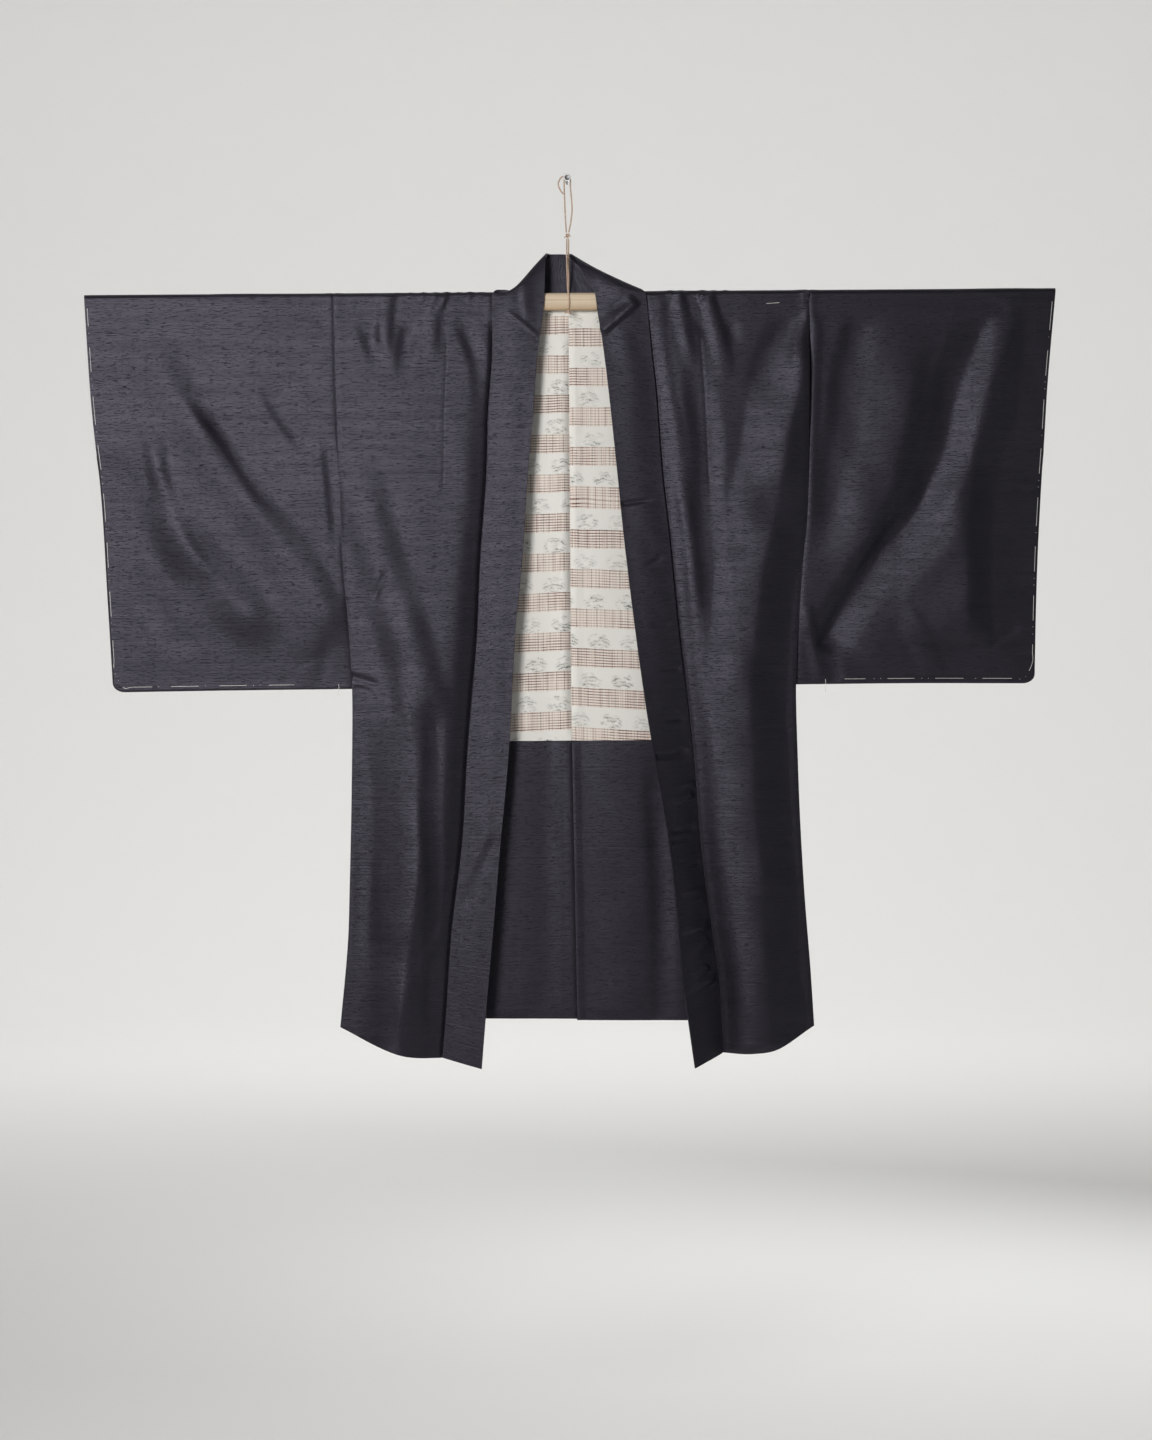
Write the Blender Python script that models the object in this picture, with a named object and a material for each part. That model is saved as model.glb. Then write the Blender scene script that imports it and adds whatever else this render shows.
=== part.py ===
"""Haori jacket hung flat and open on a wooden slat that a twine holds to a wall nail.

Metres, +Z up.  The origin is the flat rear end of the nail, on the wall plane Y = 0.  The wall is
at +Y behind the garment, whose fronts face -Y, and +X is the viewer's right.  Pieces are named
for the wearer's side: the wearer's right is at -X.
"""
import math

import bpy
import bmesh
from mathutils import Vector

# Cloth walls and the gaps that keep the pieces apart.
CLOTH = 0.0012
LINING = 0.0010
COLLAR = 0.0024
GAP = 0.0003
SEAM = 0.0005

# Slat: a flat rod with softly rounded edges, passed through both sleeves.
ROD_TOP = -0.1529
ROD_HEIGHT = 0.0235
ROD_DEPTH = 0.0160
ROD_ROUND = 0.0050
ROD_Y = -0.0300
ROD_ENDS = (-0.6400, 0.6450)

# Nail and twine.
NAIL_LENGTH = 0.0400
NAIL_RADIUS = 0.0025
NAIL_HEAD_RADIUS = 0.0050
NAIL_HEAD_THICK = 0.0024
TWINE = 0.0022
TWINE_STEP = 0.0042
TWINE_TURN_STEP = 0.0032
KNOT_TOP = Vector((0.0, -0.0300, -0.0760))
KNOT_TOP_SIZE = Vector((0.0031, 0.0031, 0.0040))
KNOT_FOOT = Vector((0.0, -0.0372, -0.1786))
KNOT_FOOT_SIZE = Vector((0.0028, 0.0025, 0.0025))

# Middle of the cloth where it passes over the slat: a tight front corner, a loose back one.
FRONT_Y = ROD_Y - ROD_DEPTH / 2 - GAP - CLOTH / 2
BACK_Y = -0.0171
OVER_Z = ROD_TOP + GAP + CLOTH / 2
FRONT_ROUND = ROD_ROUND + GAP + CLOTH / 2
BACK_ROUND = 0.0080
FRONT_TOP = OVER_Z - FRONT_ROUND
NECK_Z = OVER_Z - BACK_ROUND
UNDER_SLAT = ROD_TOP - ROD_HEIGHT - 0.0056
CORNER_STEPS = 3

# Grid of each half of the body: columns from side to neck and on to the centre, rows down.
BODY_COLUMNS = 12
NECK_COLUMNS = 4
FRONT_ROWS = 22
LINING_ROWS = 9
FACING_ROWS = 5

# Heights and widths of the cut.
CUFF_FOOT = -0.3850
LINING_FOOT = -0.7525
BAG_EDGE = 0.0040
BAG_CLOSE = 0.0600
GUSSET_TOP = -0.4000
GUSSET_TUCK = (0.0100, 0.0270)
SEAM_TROUGH_WIDTH = 0.0200

# Side of each front, shoulder to hem: (z, x).
SIDE_EDGE = {
    "right": ((-0.150, -0.3136), (-0.269, -0.3119), (-0.417, -0.3068), (-0.508, -0.3040),
              (-0.585, -0.2981), (-0.651, -0.2938), (-0.680, -0.2927), (-0.807, -0.2942),
              (-0.942, -0.2979), (-1.018, -0.3007), (-1.134, -0.3119)),
    "left": ((-0.150, 0.3219), (-0.350, 0.3205), (-0.458, 0.3172), (-0.513, 0.3117),
             (-0.596, 0.3055), (-0.677, 0.3015), (-0.774, 0.3030), (-0.870, 0.3061),
             (-0.965, 0.3112), (-1.061, 0.3182), (-1.136, 0.3226)),
}
# Seam of each front to the collar, shoulder to hem: (z, x).
COLLAR_SEAM = {
    "right": ((-0.158, -0.1010), (-0.237, -0.1017), (-0.314, -0.1077), (-0.392, -0.1106),
              (-0.510, -0.1202), (-0.617, -0.1258), (-0.705, -0.1342), (-0.770, -0.1395),
              (-0.885, -0.1470), (-1.000, -0.1612), (-1.115, -0.1700), (-1.176, -0.1752)),
    "left": ((-0.158, 0.1040), (-0.225, 0.1102), (-0.283, 0.1165), (-0.394, 0.1245),
             (-0.485, 0.1340), (-0.608, 0.1452), (-0.715, 0.1575), (-0.791, 0.1646),
             (-0.888, 0.1713), (-0.984, 0.1826), (-1.079, 0.1953), (-1.172, 0.2000)),
}
# Cuff edge of each sleeve: (z, x), and the foot of the sleeve from armhole to cuff: (u, z).
CUFF_EDGE = {
    "right": ((-0.150, -0.6470), (-0.292, -0.6389), (-0.426, -0.6265), (-0.560, -0.6195),
              (-0.660, -0.6142), (-0.684, -0.6130)),
    "left": ((-0.150, 0.6520), (-0.281, 0.6400), (-0.383, 0.6336), (-0.515, 0.6260),
             (-0.658, 0.6215), (-0.684, 0.6210)),
}
SLEEVE_FOOT = {
    "right": ((0.0, -0.6804), (0.5, -0.6812), (1.0, -0.6827)),
    "left": ((0.0, -0.6784), (0.5, -0.6780), (1.0, -0.6793)),
}
SLEEVE_FOOT_CUFF = {"right": -0.6130, "left": 0.6210}
SLEEVE_CORNER = 0.0150
# Hem of each front from side to collar, and of each back half from side to centre: (u, z).
FRONT_HEM = {
    "right": ((0.0, -1.1335), (0.32, -1.1568), (0.63, -1.1722), (1.0, -1.1755)),
    "left": ((0.0, -1.1360), (0.40, -1.1665), (0.65, -1.1716), (1.0, -1.1713)),
}
BACK_HEM = {
    "right": ((0.0, -1.1236), (1.0, -1.1262)),
    "left": ((0.0, -1.1307), (1.0, -1.1280)),
}
CENTRE_SEAM = ((-0.150, 0.0004), (-0.263, 0.0006), (-0.753, 0.0008), (-0.930, 0.0029),
               (-1.131, 0.0051))
# Neckline where it crosses the slat, as x at the front, the top and the back.
NECK_CROSS = {"right": (-0.1010, -0.0800, -0.0700), "left": (0.1040, 0.0860, 0.0670)}

# Depth of the cloth: (z, y) at the armhole and side, the belly of the front, and the collar seam.
SIDE_DEPTH = ((-0.150, FRONT_Y), (UNDER_SLAT, FRONT_Y), (-0.400, -0.0358), (-1.140, -0.0345))
BELLY_DEPTH = ((-0.150, FRONT_Y), (UNDER_SLAT, FRONT_Y), (-0.300, -0.0405), (-0.600, -0.0425),
               (-0.900, -0.0440), (-1.180, -0.0450))
SEAM_DEPTH = ((-0.150, FRONT_Y), (UNDER_SLAT, FRONT_Y), (-0.300, -0.0375), (-0.600, -0.0370),
              (-0.900, -0.0375), (-1.180, -0.0385))
BACK_DEPTH = ((-0.150, BACK_Y), (UNDER_SLAT, BACK_Y), (-0.700, -0.0150), (-1.131, -0.0135))

# Largest folds: rise towards the viewer, half width, then the (x, z) points that the fold follows.
FRONT_FOLDS = {
    "right": (
        (-0.0050, 0.0150, ((-0.560, -0.175), (-0.500, -0.282), (-0.425, -0.395), (-0.357, -0.486))),
        (-0.0060, 0.0210, ((-0.582, -0.250), (-0.535, -0.390), (-0.500, -0.470), (-0.400, -0.600))),
        (-0.0050, 0.0140, ((-0.565, -0.220), (-0.463, -0.402), (-0.396, -0.498), (-0.303, -0.640))),
        (-0.0025, 0.0150, ((-0.607, -0.490), (-0.531, -0.594), (-0.510, -0.645))),
        (-0.0035, 0.0140, ((-0.195, -0.160), (-0.222, -0.215), (-0.232, -0.275))),
        (-0.0045, 0.0200, ((-0.290, -0.420), (-0.250, -0.505), (-0.214, -0.605), (-0.208, -0.690))),
        (0.0040, 0.0240, ((-0.196, -0.680), (-0.196, -0.900), (-0.200, -1.172))),
    ),
    "left": (
        (-0.0065, 0.0190, ((0.545, -0.170), (0.470, -0.300), (0.440, -0.425), (0.365, -0.560),
                           (0.322, -0.650))),
        (0.0045, 0.0200, ((0.565, -0.165), (0.540, -0.300), (0.465, -0.465), (0.385, -0.560))),
        (0.0035, 0.0200, ((0.420, -0.170), (0.400, -0.300), (0.372, -0.440), (0.350, -0.540))),
        (-0.0040, 0.0180, ((0.302, -0.165), (0.270, -0.240), (0.245, -0.350))),
        (0.0050, 0.0260, ((0.318, -0.370), (0.275, -0.480), (0.240, -0.640), (0.246, -0.860),
                          (0.268, -1.160))),
        (-0.0030, 0.0160, ((0.172, -0.180), (0.185, -0.300), (0.190, -0.480))),
        (-0.0030, 0.0220, ((0.505, -0.500), (0.520, -0.560), (0.560, -0.590))),
    ),
}
BACK_FOLDS = (
    (0.0025, 0.0260, ((-0.500, -0.200), (-0.430, -0.420), (-0.380, -0.640))),
    (0.0025, 0.0260, ((0.520, -0.200), (0.450, -0.420), (0.390, -0.640))),
    (-0.0025, 0.0200, ((-0.190, -0.260), (-0.205, -0.700), (-0.215, -1.110))),
    (-0.0025, 0.0200, ((0.185, -0.260), (0.205, -0.700), (0.220, -1.110))),
    (0.0020, 0.0120, ((-0.012, -0.330), (-0.010, -0.700), (-0.008, -1.110))),
)

# The collar is ruled from its seam edge to its free edge.  Rows run from the wearer's right hem up
# the front, round the back of the neck and down the left front: seam (x, y, z), free edge (x, y, z).
COLLAR_FRONT_RIGHT = (
    ((-0.1745, -0.0406, -1.1745), (-0.1224, -0.0490, -1.1890)),
    ((-0.1690, -0.0402, -1.1100), (-0.1165, -0.0486, -1.1200)),
    ((-0.1602, -0.0398, -1.0000), (-0.1055, -0.0480, -1.0050)),
    ((-0.1460, -0.0396, -0.8850), (-0.0945, -0.0476, -0.8850)),
    ((-0.1385, -0.0394, -0.7700), (-0.0832, -0.0470, -0.7690)),
    ((-0.1248, -0.0391, -0.6170), (-0.0742, -0.0462, -0.6150)),
    ((-0.1192, -0.0392, -0.5100), (-0.0635, -0.0455, -0.5080)),
    ((-0.1096, -0.0394, -0.3920), (-0.0550, -0.0448, -0.3900)),
    ((-0.1067, -0.0396, -0.3140), (-0.0475, -0.0440, -0.3130)),
    ((-0.1007, -0.0403, -0.2370), (-0.0413, -0.0425, -0.2350)),
    ((-0.1010, -0.0409, -0.1850), (-0.0340, -0.0405, -0.1850)),
)
COLLAR_NECK = (
    ((-0.1015, -0.0415, -0.1590), (-0.0313, -0.0402, -0.1520)),
    ((-0.0975, -0.0397, -0.1506), (-0.0303, -0.0386, -0.1280)),
    ((-0.0880, -0.0335, -0.1490), (-0.0295, -0.0340, -0.1080)),
    ((-0.0800, -0.0272, -0.1490), (-0.0285, -0.0285, -0.1005)),
    ((-0.0740, -0.0195, -0.1512), (-0.0265, -0.0215, -0.0990)),
    ((-0.0680, -0.0150, -0.1590), (-0.0235, -0.0165, -0.0987)),
    ((-0.0550, -0.0150, -0.1612), (-0.0190, -0.0152, -0.0986)),
    ((-0.0300, -0.0150, -0.1615), (-0.0135, -0.0150, -0.0986)),
    ((0.0000, -0.0150, -0.1615), (-0.0085, -0.0150, -0.0987)),
    ((0.0300, -0.0150, -0.1615), (-0.0045, -0.0150, -0.0989)),
    ((0.0540, -0.0150, -0.1612), (-0.0015, -0.0152, -0.0992)),
    ((0.0660, -0.0152, -0.1590), (0.0012, -0.0170, -0.0995)),
    ((0.0765, -0.0195, -0.1512), (0.0034, -0.0220, -0.1000)),
    ((0.0860, -0.0272, -0.1490), (0.0066, -0.0290, -0.1030)),
    ((0.0950, -0.0360, -0.1490), (0.0130, -0.0350, -0.1130)),
    ((0.1025, -0.0407, -0.1542), (0.0245, -0.0394, -0.1340)),
    ((0.1045, -0.0415, -0.1605), (0.0348, -0.0402, -0.1500)),
)
COLLAR_FRONT_LEFT = (
    ((0.1072, -0.0409, -0.1900), (0.0392, -0.0407, -0.1800)),
    ((0.1110, -0.0403, -0.2350), (0.0455, -0.0425, -0.2200)),
    ((0.1165, -0.0396, -0.2900), (0.0530, -0.0440, -0.2830)),
    ((0.1235, -0.0394, -0.3940), (0.0638, -0.0448, -0.3920)),
    ((0.1330, -0.0392, -0.4850), (0.0727, -0.0455, -0.4860)),
    ((0.1442, -0.0391, -0.6080), (0.0870, -0.0462, -0.6100)),
    ((0.1565, -0.0392, -0.7150), (0.1015, -0.0467, -0.7180)),
    ((0.1636, -0.0394, -0.7910), (0.1140, -0.0472, -0.7920)),
    ((0.1703, -0.0396, -0.8880), (0.1300, -0.0476, -0.8900)),
    ((0.1816, -0.0398, -0.9840), (0.1400, -0.0482, -0.9860)),
    ((0.1943, -0.0402, -1.0790), (0.1480, -0.0487, -1.0830)),
    ((0.1990, -0.0406, -1.1720), (0.1618, -0.0490, -1.1890)),
)
COLLAR_STEP = 0.0260

# Twine routes through hand-chosen points, in metres.
TWINE_STRANDS = {
    "twine_nail_loop": ((-0.0016, -0.0300, -0.0717), (-0.0026, -0.0300, -0.0560),
                           (-0.0036, -0.0300, -0.0320), (-0.0041, -0.0300, -0.0120),
                           (-0.0042, -0.0300, 0.0000), (-0.0030, -0.0300, 0.0030),
                           (0.0000, -0.0300, 0.0042), (0.0030, -0.0300, 0.0030),
                           (0.0042, -0.0300, 0.0000), (0.0043, -0.0300, -0.0120),
                           (0.0056, -0.0302, -0.0280), (0.0062, -0.0303, -0.0420),
                           (0.0044, -0.0301, -0.0580), (0.0016, -0.0300, -0.0717)),
    "twine_slack_turn": ((-0.0031, -0.0335, 0.0024), (-0.0075, -0.0345, 0.0016),
                         (-0.0112, -0.0345, -0.0040), (-0.0118, -0.0340, -0.0095),
                         (-0.0090, -0.0334, -0.0160), (-0.0056, -0.0326, -0.0206)),
    "twine_front_strand": ((-0.0013, -0.0305, -0.0804), (-0.0013, -0.0318, -0.1000),
                           (-0.0010, -0.0345, -0.1250), (-0.0004, -0.0378, -0.1460),
                           (0.0006, -0.0392, -0.1545), (0.0014, -0.0396, -0.1640),
                           (0.0010, -0.0395, -0.1715), (0.0002, -0.0389, -0.1748)),
    "twine_back_strand": ((0.0013, -0.0295, -0.0804), (0.0012, -0.0282, -0.1000),
                          (0.0010, -0.0256, -0.1250), (0.0007, -0.0220, -0.1460),
                          (0.0005, -0.0207, -0.1545), (0.0003, -0.0205, -0.1640),
                          (0.0002, -0.0203, -0.1730), (0.0001, -0.0228, -0.1777),
                          (0.0000, -0.0280, -0.1784), (0.0000, -0.0328, -0.1784)),
}

# Base colours of the finishes.
BLACK_SILK = (0.070, 0.066, 0.085)
LINING_SILK = (0.640, 0.560, 0.500)
SLAT_WOOD = (0.660, 0.560, 0.430)
JUTE = (0.560, 0.420, 0.280)
NAIL_PAINT = (0.780, 0.790, 0.800)


def smooth(t):
    """Ease from 0 to 1, flat at both ends."""
    t = min(max(t, 0.0), 1.0)
    return t * t * (3 - 2 * t)


def mix(a, b, t):
    return a + (b - a) * t


def read(table, key):
    """Value of a two-column table at a key, on a smooth curve through its rows."""
    rows = sorted(table)
    key = min(max(key, rows[0][0]), rows[-1][0])
    spans = [(b[1] - a[1]) / (b[0] - a[0]) for a, b in zip(rows, rows[1:])]
    slopes = [spans[0]] + [(a + b) / 2 for a, b in zip(spans, spans[1:])] + [spans[-1]]
    at = max(i for i in range(len(rows) - 1) if rows[i][0] <= key)
    (k0, v0), (k1, v1) = rows[at], rows[at + 1]
    width = k1 - k0
    t = (key - k0) / width
    start = v0 * (1 + 2 * t) * (1 - t) ** 2 + slopes[at] * width * t * (1 - t) ** 2
    return start + v1 * t * t * (3 - 2 * t) - slopes[at + 1] * width * t * t * (1 - t)


def fold_rise(folds, x, z):
    """Sum of the folds at a point: each a soft ridge or trough that fades at its ends."""
    total = 0.0
    for rise, width, path in folds:
        lengths = [math.dist(a, b) for a, b in zip(path, path[1:])]
        whole = sum(lengths)
        near = (1e9, 0.0)
        run = 0.0
        for (x0, z0), (x1, z1), length in zip(path, path[1:], lengths):
            t = ((x - x0) * (x1 - x0) + (z - z0) * (z1 - z0)) / length ** 2
            t = min(max(t, 0.0), 1.0)
            gap = math.hypot(x - mix(x0, x1, t), z - mix(z0, z1, t))
            near = min(near, (gap, (run + t * length) / whole))
            run += length
        fade = smooth(near[1] * 4) * smooth((1 - near[1]) * 4)
        total += rise * fade * math.exp(-(near[0] / width) ** 2)
    return total


def below_slat(z):
    """0 where the cloth lies flat on the slat, 1 once it hangs free below it."""
    return smooth((UNDER_SLAT - z) / 0.030)


def levels(top, foot, count, first=None):
    """Heights down a panel, with one row just under the slat when it has one."""
    if first is None:
        return [mix(top, foot, j / count) for j in range(count + 1)]
    return [top] + [mix(first, foot, j / (count - 1)) for j in range(count)]


def over_slat():
    """Section of the cloth over the slat, front to back, as (share, y, z)."""
    points = []
    for step in range(CORNER_STEPS + 1):
        turn = math.pi / 2 * step / CORNER_STEPS
        points.append((FRONT_Y + FRONT_ROUND * (1 - math.cos(turn)),
                       FRONT_TOP + FRONT_ROUND * math.sin(turn)))
    for step in range(CORNER_STEPS + 1):
        turn = math.pi / 2 * step / CORNER_STEPS
        points.append((BACK_Y - BACK_ROUND * (1 - math.sin(turn)),
                       NECK_Z + BACK_ROUND * math.cos(turn)))
    last = len(points) - 1
    return [(i / last, y, z) for i, (y, z) in enumerate(points)]


def front_depth(side, x, z, u):
    """Depth of a front panel: u is 0 at its side and 1 at the collar seam."""
    seam_x = read(COLLAR_SEAM[side], z)
    belly = mix(read(SIDE_DEPTH, z), read(BELLY_DEPTH, z), smooth(u * 1.6))
    trough = math.exp(-((x - seam_x) / SEAM_TROUGH_WIDTH) ** 2)
    fold = fold_rise(FRONT_FOLDS[side], x, z) * below_slat(z) * (1 - trough)
    return mix(belly, read(SEAM_DEPTH, z), trough) - fold


def back_depth(x, z):
    return read(BACK_DEPTH, z) - fold_rise(BACK_FOLDS, x, z) * below_slat(z)


def sleeve_depths(side, x, z, foot):
    """Front and back depth of a sleeve, which closes towards its foot and its sewn cuff."""
    front = read(SIDE_DEPTH, z) - fold_rise(FRONT_FOLDS[side], x, z) * below_slat(z)
    back = back_depth(x, z)
    to_cuff = abs(read(CUFF_EDGE[side], z) - x)
    near_cuff = 1 - smooth(to_cuff / BAG_CLOSE)
    sewn = smooth((CUFF_FOOT + 0.04 - z) / 0.06)
    near_foot = 1 - smooth((z - foot) / BAG_CLOSE)
    closed = max(near_foot, near_cuff * sewn)
    middle = (front + back) / 2
    half = mix((back - front) / 2, BAG_EDGE / 2, closed)
    return middle - half, middle + half


def new_object(name, points, faces, colour, roughness=0.75):
    """Mesh object with its own material, shaded smooth."""
    mesh = bpy.data.meshes.new(name)
    mesh.from_pydata([tuple(p) for p in points], [], faces)
    mesh.shade_smooth()
    mesh.set_sharp_from_angle(angle=math.radians(40))
    thing = bpy.data.objects.new(name, mesh)
    bpy.context.scene.collection.objects.link(thing)
    finish(thing, colour, roughness)
    return thing


def finish(thing, colour, roughness):
    material = bpy.data.materials.new(thing.name)
    material.use_nodes = True
    shader = material.node_tree.nodes["Principled BSDF"]
    shader.inputs["Base Color"].default_value = (*colour, 1.0)
    shader.inputs["Roughness"].default_value = roughness
    shader.inputs["Metallic"].default_value = 0.0
    thing.data.materials.append(material)


def cloth_piece(name, grid, cells, thickness, colour):
    """Sheet from a grid of points, given its thickness on both sides of its middle."""
    index = {}
    points = []
    faces = []
    for cell in cells:
        face = []
        for key in cell:
            if key not in index:
                index[key] = len(points)
                points.append(grid[key])
            face.append(index[key])
        faces.append(face)
    thing = new_object(name, points, faces, colour)
    mesh = bmesh.new()
    mesh.from_mesh(thing.data)
    bmesh.ops.recalc_face_normals(mesh, faces=mesh.faces)
    mesh.to_mesh(thing.data)
    mesh.free()
    wall = thing.modifiers.new("wall", "SOLIDIFY")
    wall.thickness = thickness
    wall.offset = 0.0
    wall.use_even_offset = True
    wall.use_quality_normals = True
    return thing


def quad(i, j):
    return ((i, j), (i + 1, j), (i + 1, j + 1), (i, j + 1))


def back_grid(side):
    """Points of one half of the back, neckline to hem, side to centre seam."""
    sign = -1 if side == "right" else 1
    grid = {}
    for i in range(BODY_COLUMNS + NECK_COLUMNS + 1):
        foot = read(BACK_HEM[side], i / (BODY_COLUMNS + NECK_COLUMNS))
        heights = levels(NECK_Z, LINING_FOOT, LINING_ROWS, UNDER_SLAT)
        heights += levels(LINING_FOOT, foot, FACING_ROWS)[1:]
        for j, z in enumerate(heights):
            side_x = read(SIDE_EDGE[side], z) - sign * SEAM / 2
            neck_x = NECK_CROSS[side][2]
            centre_x = read(CENTRE_SEAM, z) + sign * SEAM / 2
            if i <= BODY_COLUMNS:
                x = mix(side_x, neck_x, i / BODY_COLUMNS)
            else:
                x = mix(neck_x, centre_x, (i - BODY_COLUMNS) / NECK_COLUMNS)
            grid[i, j] = Vector((x, back_depth(x, z), z))
    return grid


def body_half(side):
    """Front and back of one half in one cut, folded over the slat, with the neck notched out."""
    sign = -1 if side == "right" else 1
    top = over_slat()
    grid = {}
    for i in range(BODY_COLUMNS + 1):
        u = i / BODY_COLUMNS
        heights = levels(FRONT_TOP, read(FRONT_HEM[side], u), FRONT_ROWS, UNDER_SLAT)
        for j, z in enumerate(reversed(heights[1:])):
            side_x = read(SIDE_EDGE[side], z) - sign * SEAM / 2
            x = mix(side_x, read(COLLAR_SEAM[side], z), u)
            grid[i, j] = Vector((x, front_depth(side, x, z, u), z))
        for j, (share, y, z) in enumerate(top):
            side_x = read(SIDE_EDGE[side], z) - sign * SEAM / 2
            front_x, top_x, back_x = NECK_CROSS[side]
            neck_x = mix(front_x, top_x, min(share * 2, 1)) + mix(0, back_x - top_x, max(share * 2 - 1, 0))
            grid[i, FRONT_ROWS + j] = Vector((mix(side_x, neck_x, u), y, z))
    first_back = FRONT_ROWS + len(top) - 1
    for (i, j), point in back_grid(side).items():
        grid[i, first_back + j] = point
    back_rows = LINING_ROWS + FACING_ROWS
    cells = [quad(i, j) for i in range(BODY_COLUMNS) for j in range(first_back + back_rows)]
    cells += [quad(BODY_COLUMNS + i, first_back + j)
              for i in range(NECK_COLUMNS) for j in range(back_rows)]
    cloth_piece("body_" + side, grid, cells, CLOTH, BLACK_SILK)


def sleeve_foot(side, u):
    """Height of a sleeve's foot, with its small rounded corner at the cuff."""
    width = abs(SLEEVE_FOOT_CUFF[side] - SIDE_EDGE[side][6][1])
    inside = max(0.0, SLEEVE_CORNER - (1 - u) * width)
    rise = SLEEVE_CORNER - math.sqrt(SLEEVE_CORNER ** 2 - inside ** 2)
    return read(SLEEVE_FOOT[side], u) + rise * 0.8


def sleeve(side):
    """A folded bag: open to the body along its inner end and at the cuff opening."""
    sign = -1 if side == "right" else 1
    rows = 12
    shares = [i / 12 for i in range(12)] + [0.9520, 0.9700, 0.9860, 1.0]
    columns = len(shares) - 1
    top = over_slat()
    grid = {}
    ring = 2 * rows + len(top) + 1
    for i, u in enumerate(shares):
        foot = sleeve_foot(side, u)
        heights = levels(FRONT_TOP, foot + BAG_EDGE / 2, rows, UNDER_SLAT)
        for j, z in enumerate(reversed(heights[1:])):
            armhole = read(SIDE_EDGE[side], z) + sign * SEAM / 2
            sewn_in = BAG_EDGE / 2 * smooth((CUFF_FOOT + 0.02 - z) / 0.04)
            x = mix(armhole, read(CUFF_EDGE[side], z) - sign * sewn_in, u)
            front, back = sleeve_depths(side, x, z, foot)
            grid[i, j] = Vector((x, front, z))
            grid[i, ring - 2 - j] = Vector((x, back, z))
        for j, (share, y, z) in enumerate(top):
            armhole = read(SIDE_EDGE[side], z) + sign * SEAM / 2
            x = mix(armhole, read(CUFF_EDGE[side], z), u)
            grid[i, rows + j] = Vector((x, y, z))
        low = (grid[i, 0] + grid[i, ring - 2]) / 2
        grid[i, ring - 1] = Vector((low.x, low.y, foot))
    cells = [((i, j), (i + 1, j), (i + 1, (j + 1) % ring), (i, (j + 1) % ring))
             for i in range(columns) for j in range(ring)]
    sewn = [j for j in range(rows) if grid[columns, j].z < CUFF_FOOT]
    for j in sewn:
        pair = (grid[columns, j] + grid[columns, ring - 2 - j]) / 2
        grid["cuff", j] = pair + Vector((sign * BAG_EDGE / 2, 0, 0))
    for j in sewn[:-1]:
        cells.append(((columns, j), (columns, j + 1), ("cuff", j + 1), ("cuff", j)))
        cells.append((("cuff", j), ("cuff", j + 1), (columns, ring - 3 - j), (columns, ring - 2 - j)))
    cells.append(((columns, 0), ("cuff", 0), (columns, ring - 1)))
    cells.append((("cuff", 0), (columns, ring - 2), (columns, ring - 1)))
    cloth_piece("sleeve_" + side, grid, cells, CLOTH, BLACK_SILK)


def back_layer(name, side, first_row, rows, lift, thickness, colour):
    """Layer on the inside of the back, made from the back's own points moved out."""
    grid = {key: point - Vector((0, lift, 0)) for key, point in back_grid(side).items()}
    columns = BODY_COLUMNS + NECK_COLUMNS
    last_row = first_row + rows
    for i in range(columns + 1):
        grid[i, first_row].z -= GAP / 2
        grid[i, last_row].z += GAP / 2
    cells = [quad(i, j) for i in range(columns) for j in range(first_row, last_row)]
    cloth_piece(name, grid, cells, thickness, colour)


def side_gusset(side):
    """Narrow wedge between front and back side edges, folded inwards in a V."""
    sign = -1 if side == "right" else 1
    rows = 12
    hem_z = read(FRONT_HEM[side], 0.0) + 0.0020
    front_step = CLOTH / 2 + GAP + CLOTH / 2
    back_step = CLOTH / 2 + GAP + CLOTH + GAP + CLOTH / 2
    grid = {}
    for j in range(rows + 1):
        z = mix(GUSSET_TOP, hem_z, j / rows)
        tuck = mix(*GUSSET_TUCK, j / rows)
        edge = read(SIDE_EDGE[side], z) - sign * 0.0008
        front = front_depth(side, edge, z, 0.0) + front_step + 0.0003
        back = back_depth(edge, max(z, read(BACK_HEM[side], 0.0))) - back_step - 0.0003
        middle = (front + back) / 2
        section = ((0.0, front), (0.45, mix(front, middle, 0.35)), (0.9, mix(front, middle, 0.72)),
                   (1.0, middle), (0.9, mix(back, middle, 0.72)), (0.45, mix(back, middle, 0.35)),
                   (0.0, back))
        for i, (inward, y) in enumerate(section):
            grid[i, j] = Vector((edge - sign * tuck * inward, y, z))
    cells = [quad(i, j) for i in range(6) for j in range(rows)]
    cloth_piece("gusset_" + side, grid, cells, CLOTH, BLACK_SILK)


def through(points, step):
    """Points about a step apart on a smooth curve through the given ones."""
    points = [Vector(p) for p in points]
    ends = [points[0] * 2 - points[1]] + points + [points[-1] * 2 - points[-2]]
    dense = []
    for a, b, c, d in zip(ends, ends[1:], ends[2:], ends[3:]):
        for k in range(24):
            t = k / 24
            dense.append(0.5 * (2 * b + (c - a) * t + (2 * a - 5 * b + 4 * c - d) * t * t
                                + (3 * b - a - 3 * c + d) * t ** 3))
    dense.append(points[-1])
    lengths = [0.0]
    for a, b in zip(dense, dense[1:]):
        lengths.append(lengths[-1] + (b - a).length)
    count = max(2, round(lengths[-1] / step))
    kept = []
    at = 0
    for k in range(count + 1):
        want = lengths[-1] * k / count
        while at < len(lengths) - 2 and lengths[at + 1] < want:
            at += 1
        span = max(lengths[at + 1] - lengths[at], 1e-9)
        kept.append(dense[at].lerp(dense[at + 1], (want - lengths[at]) / span))
    return kept


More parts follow.
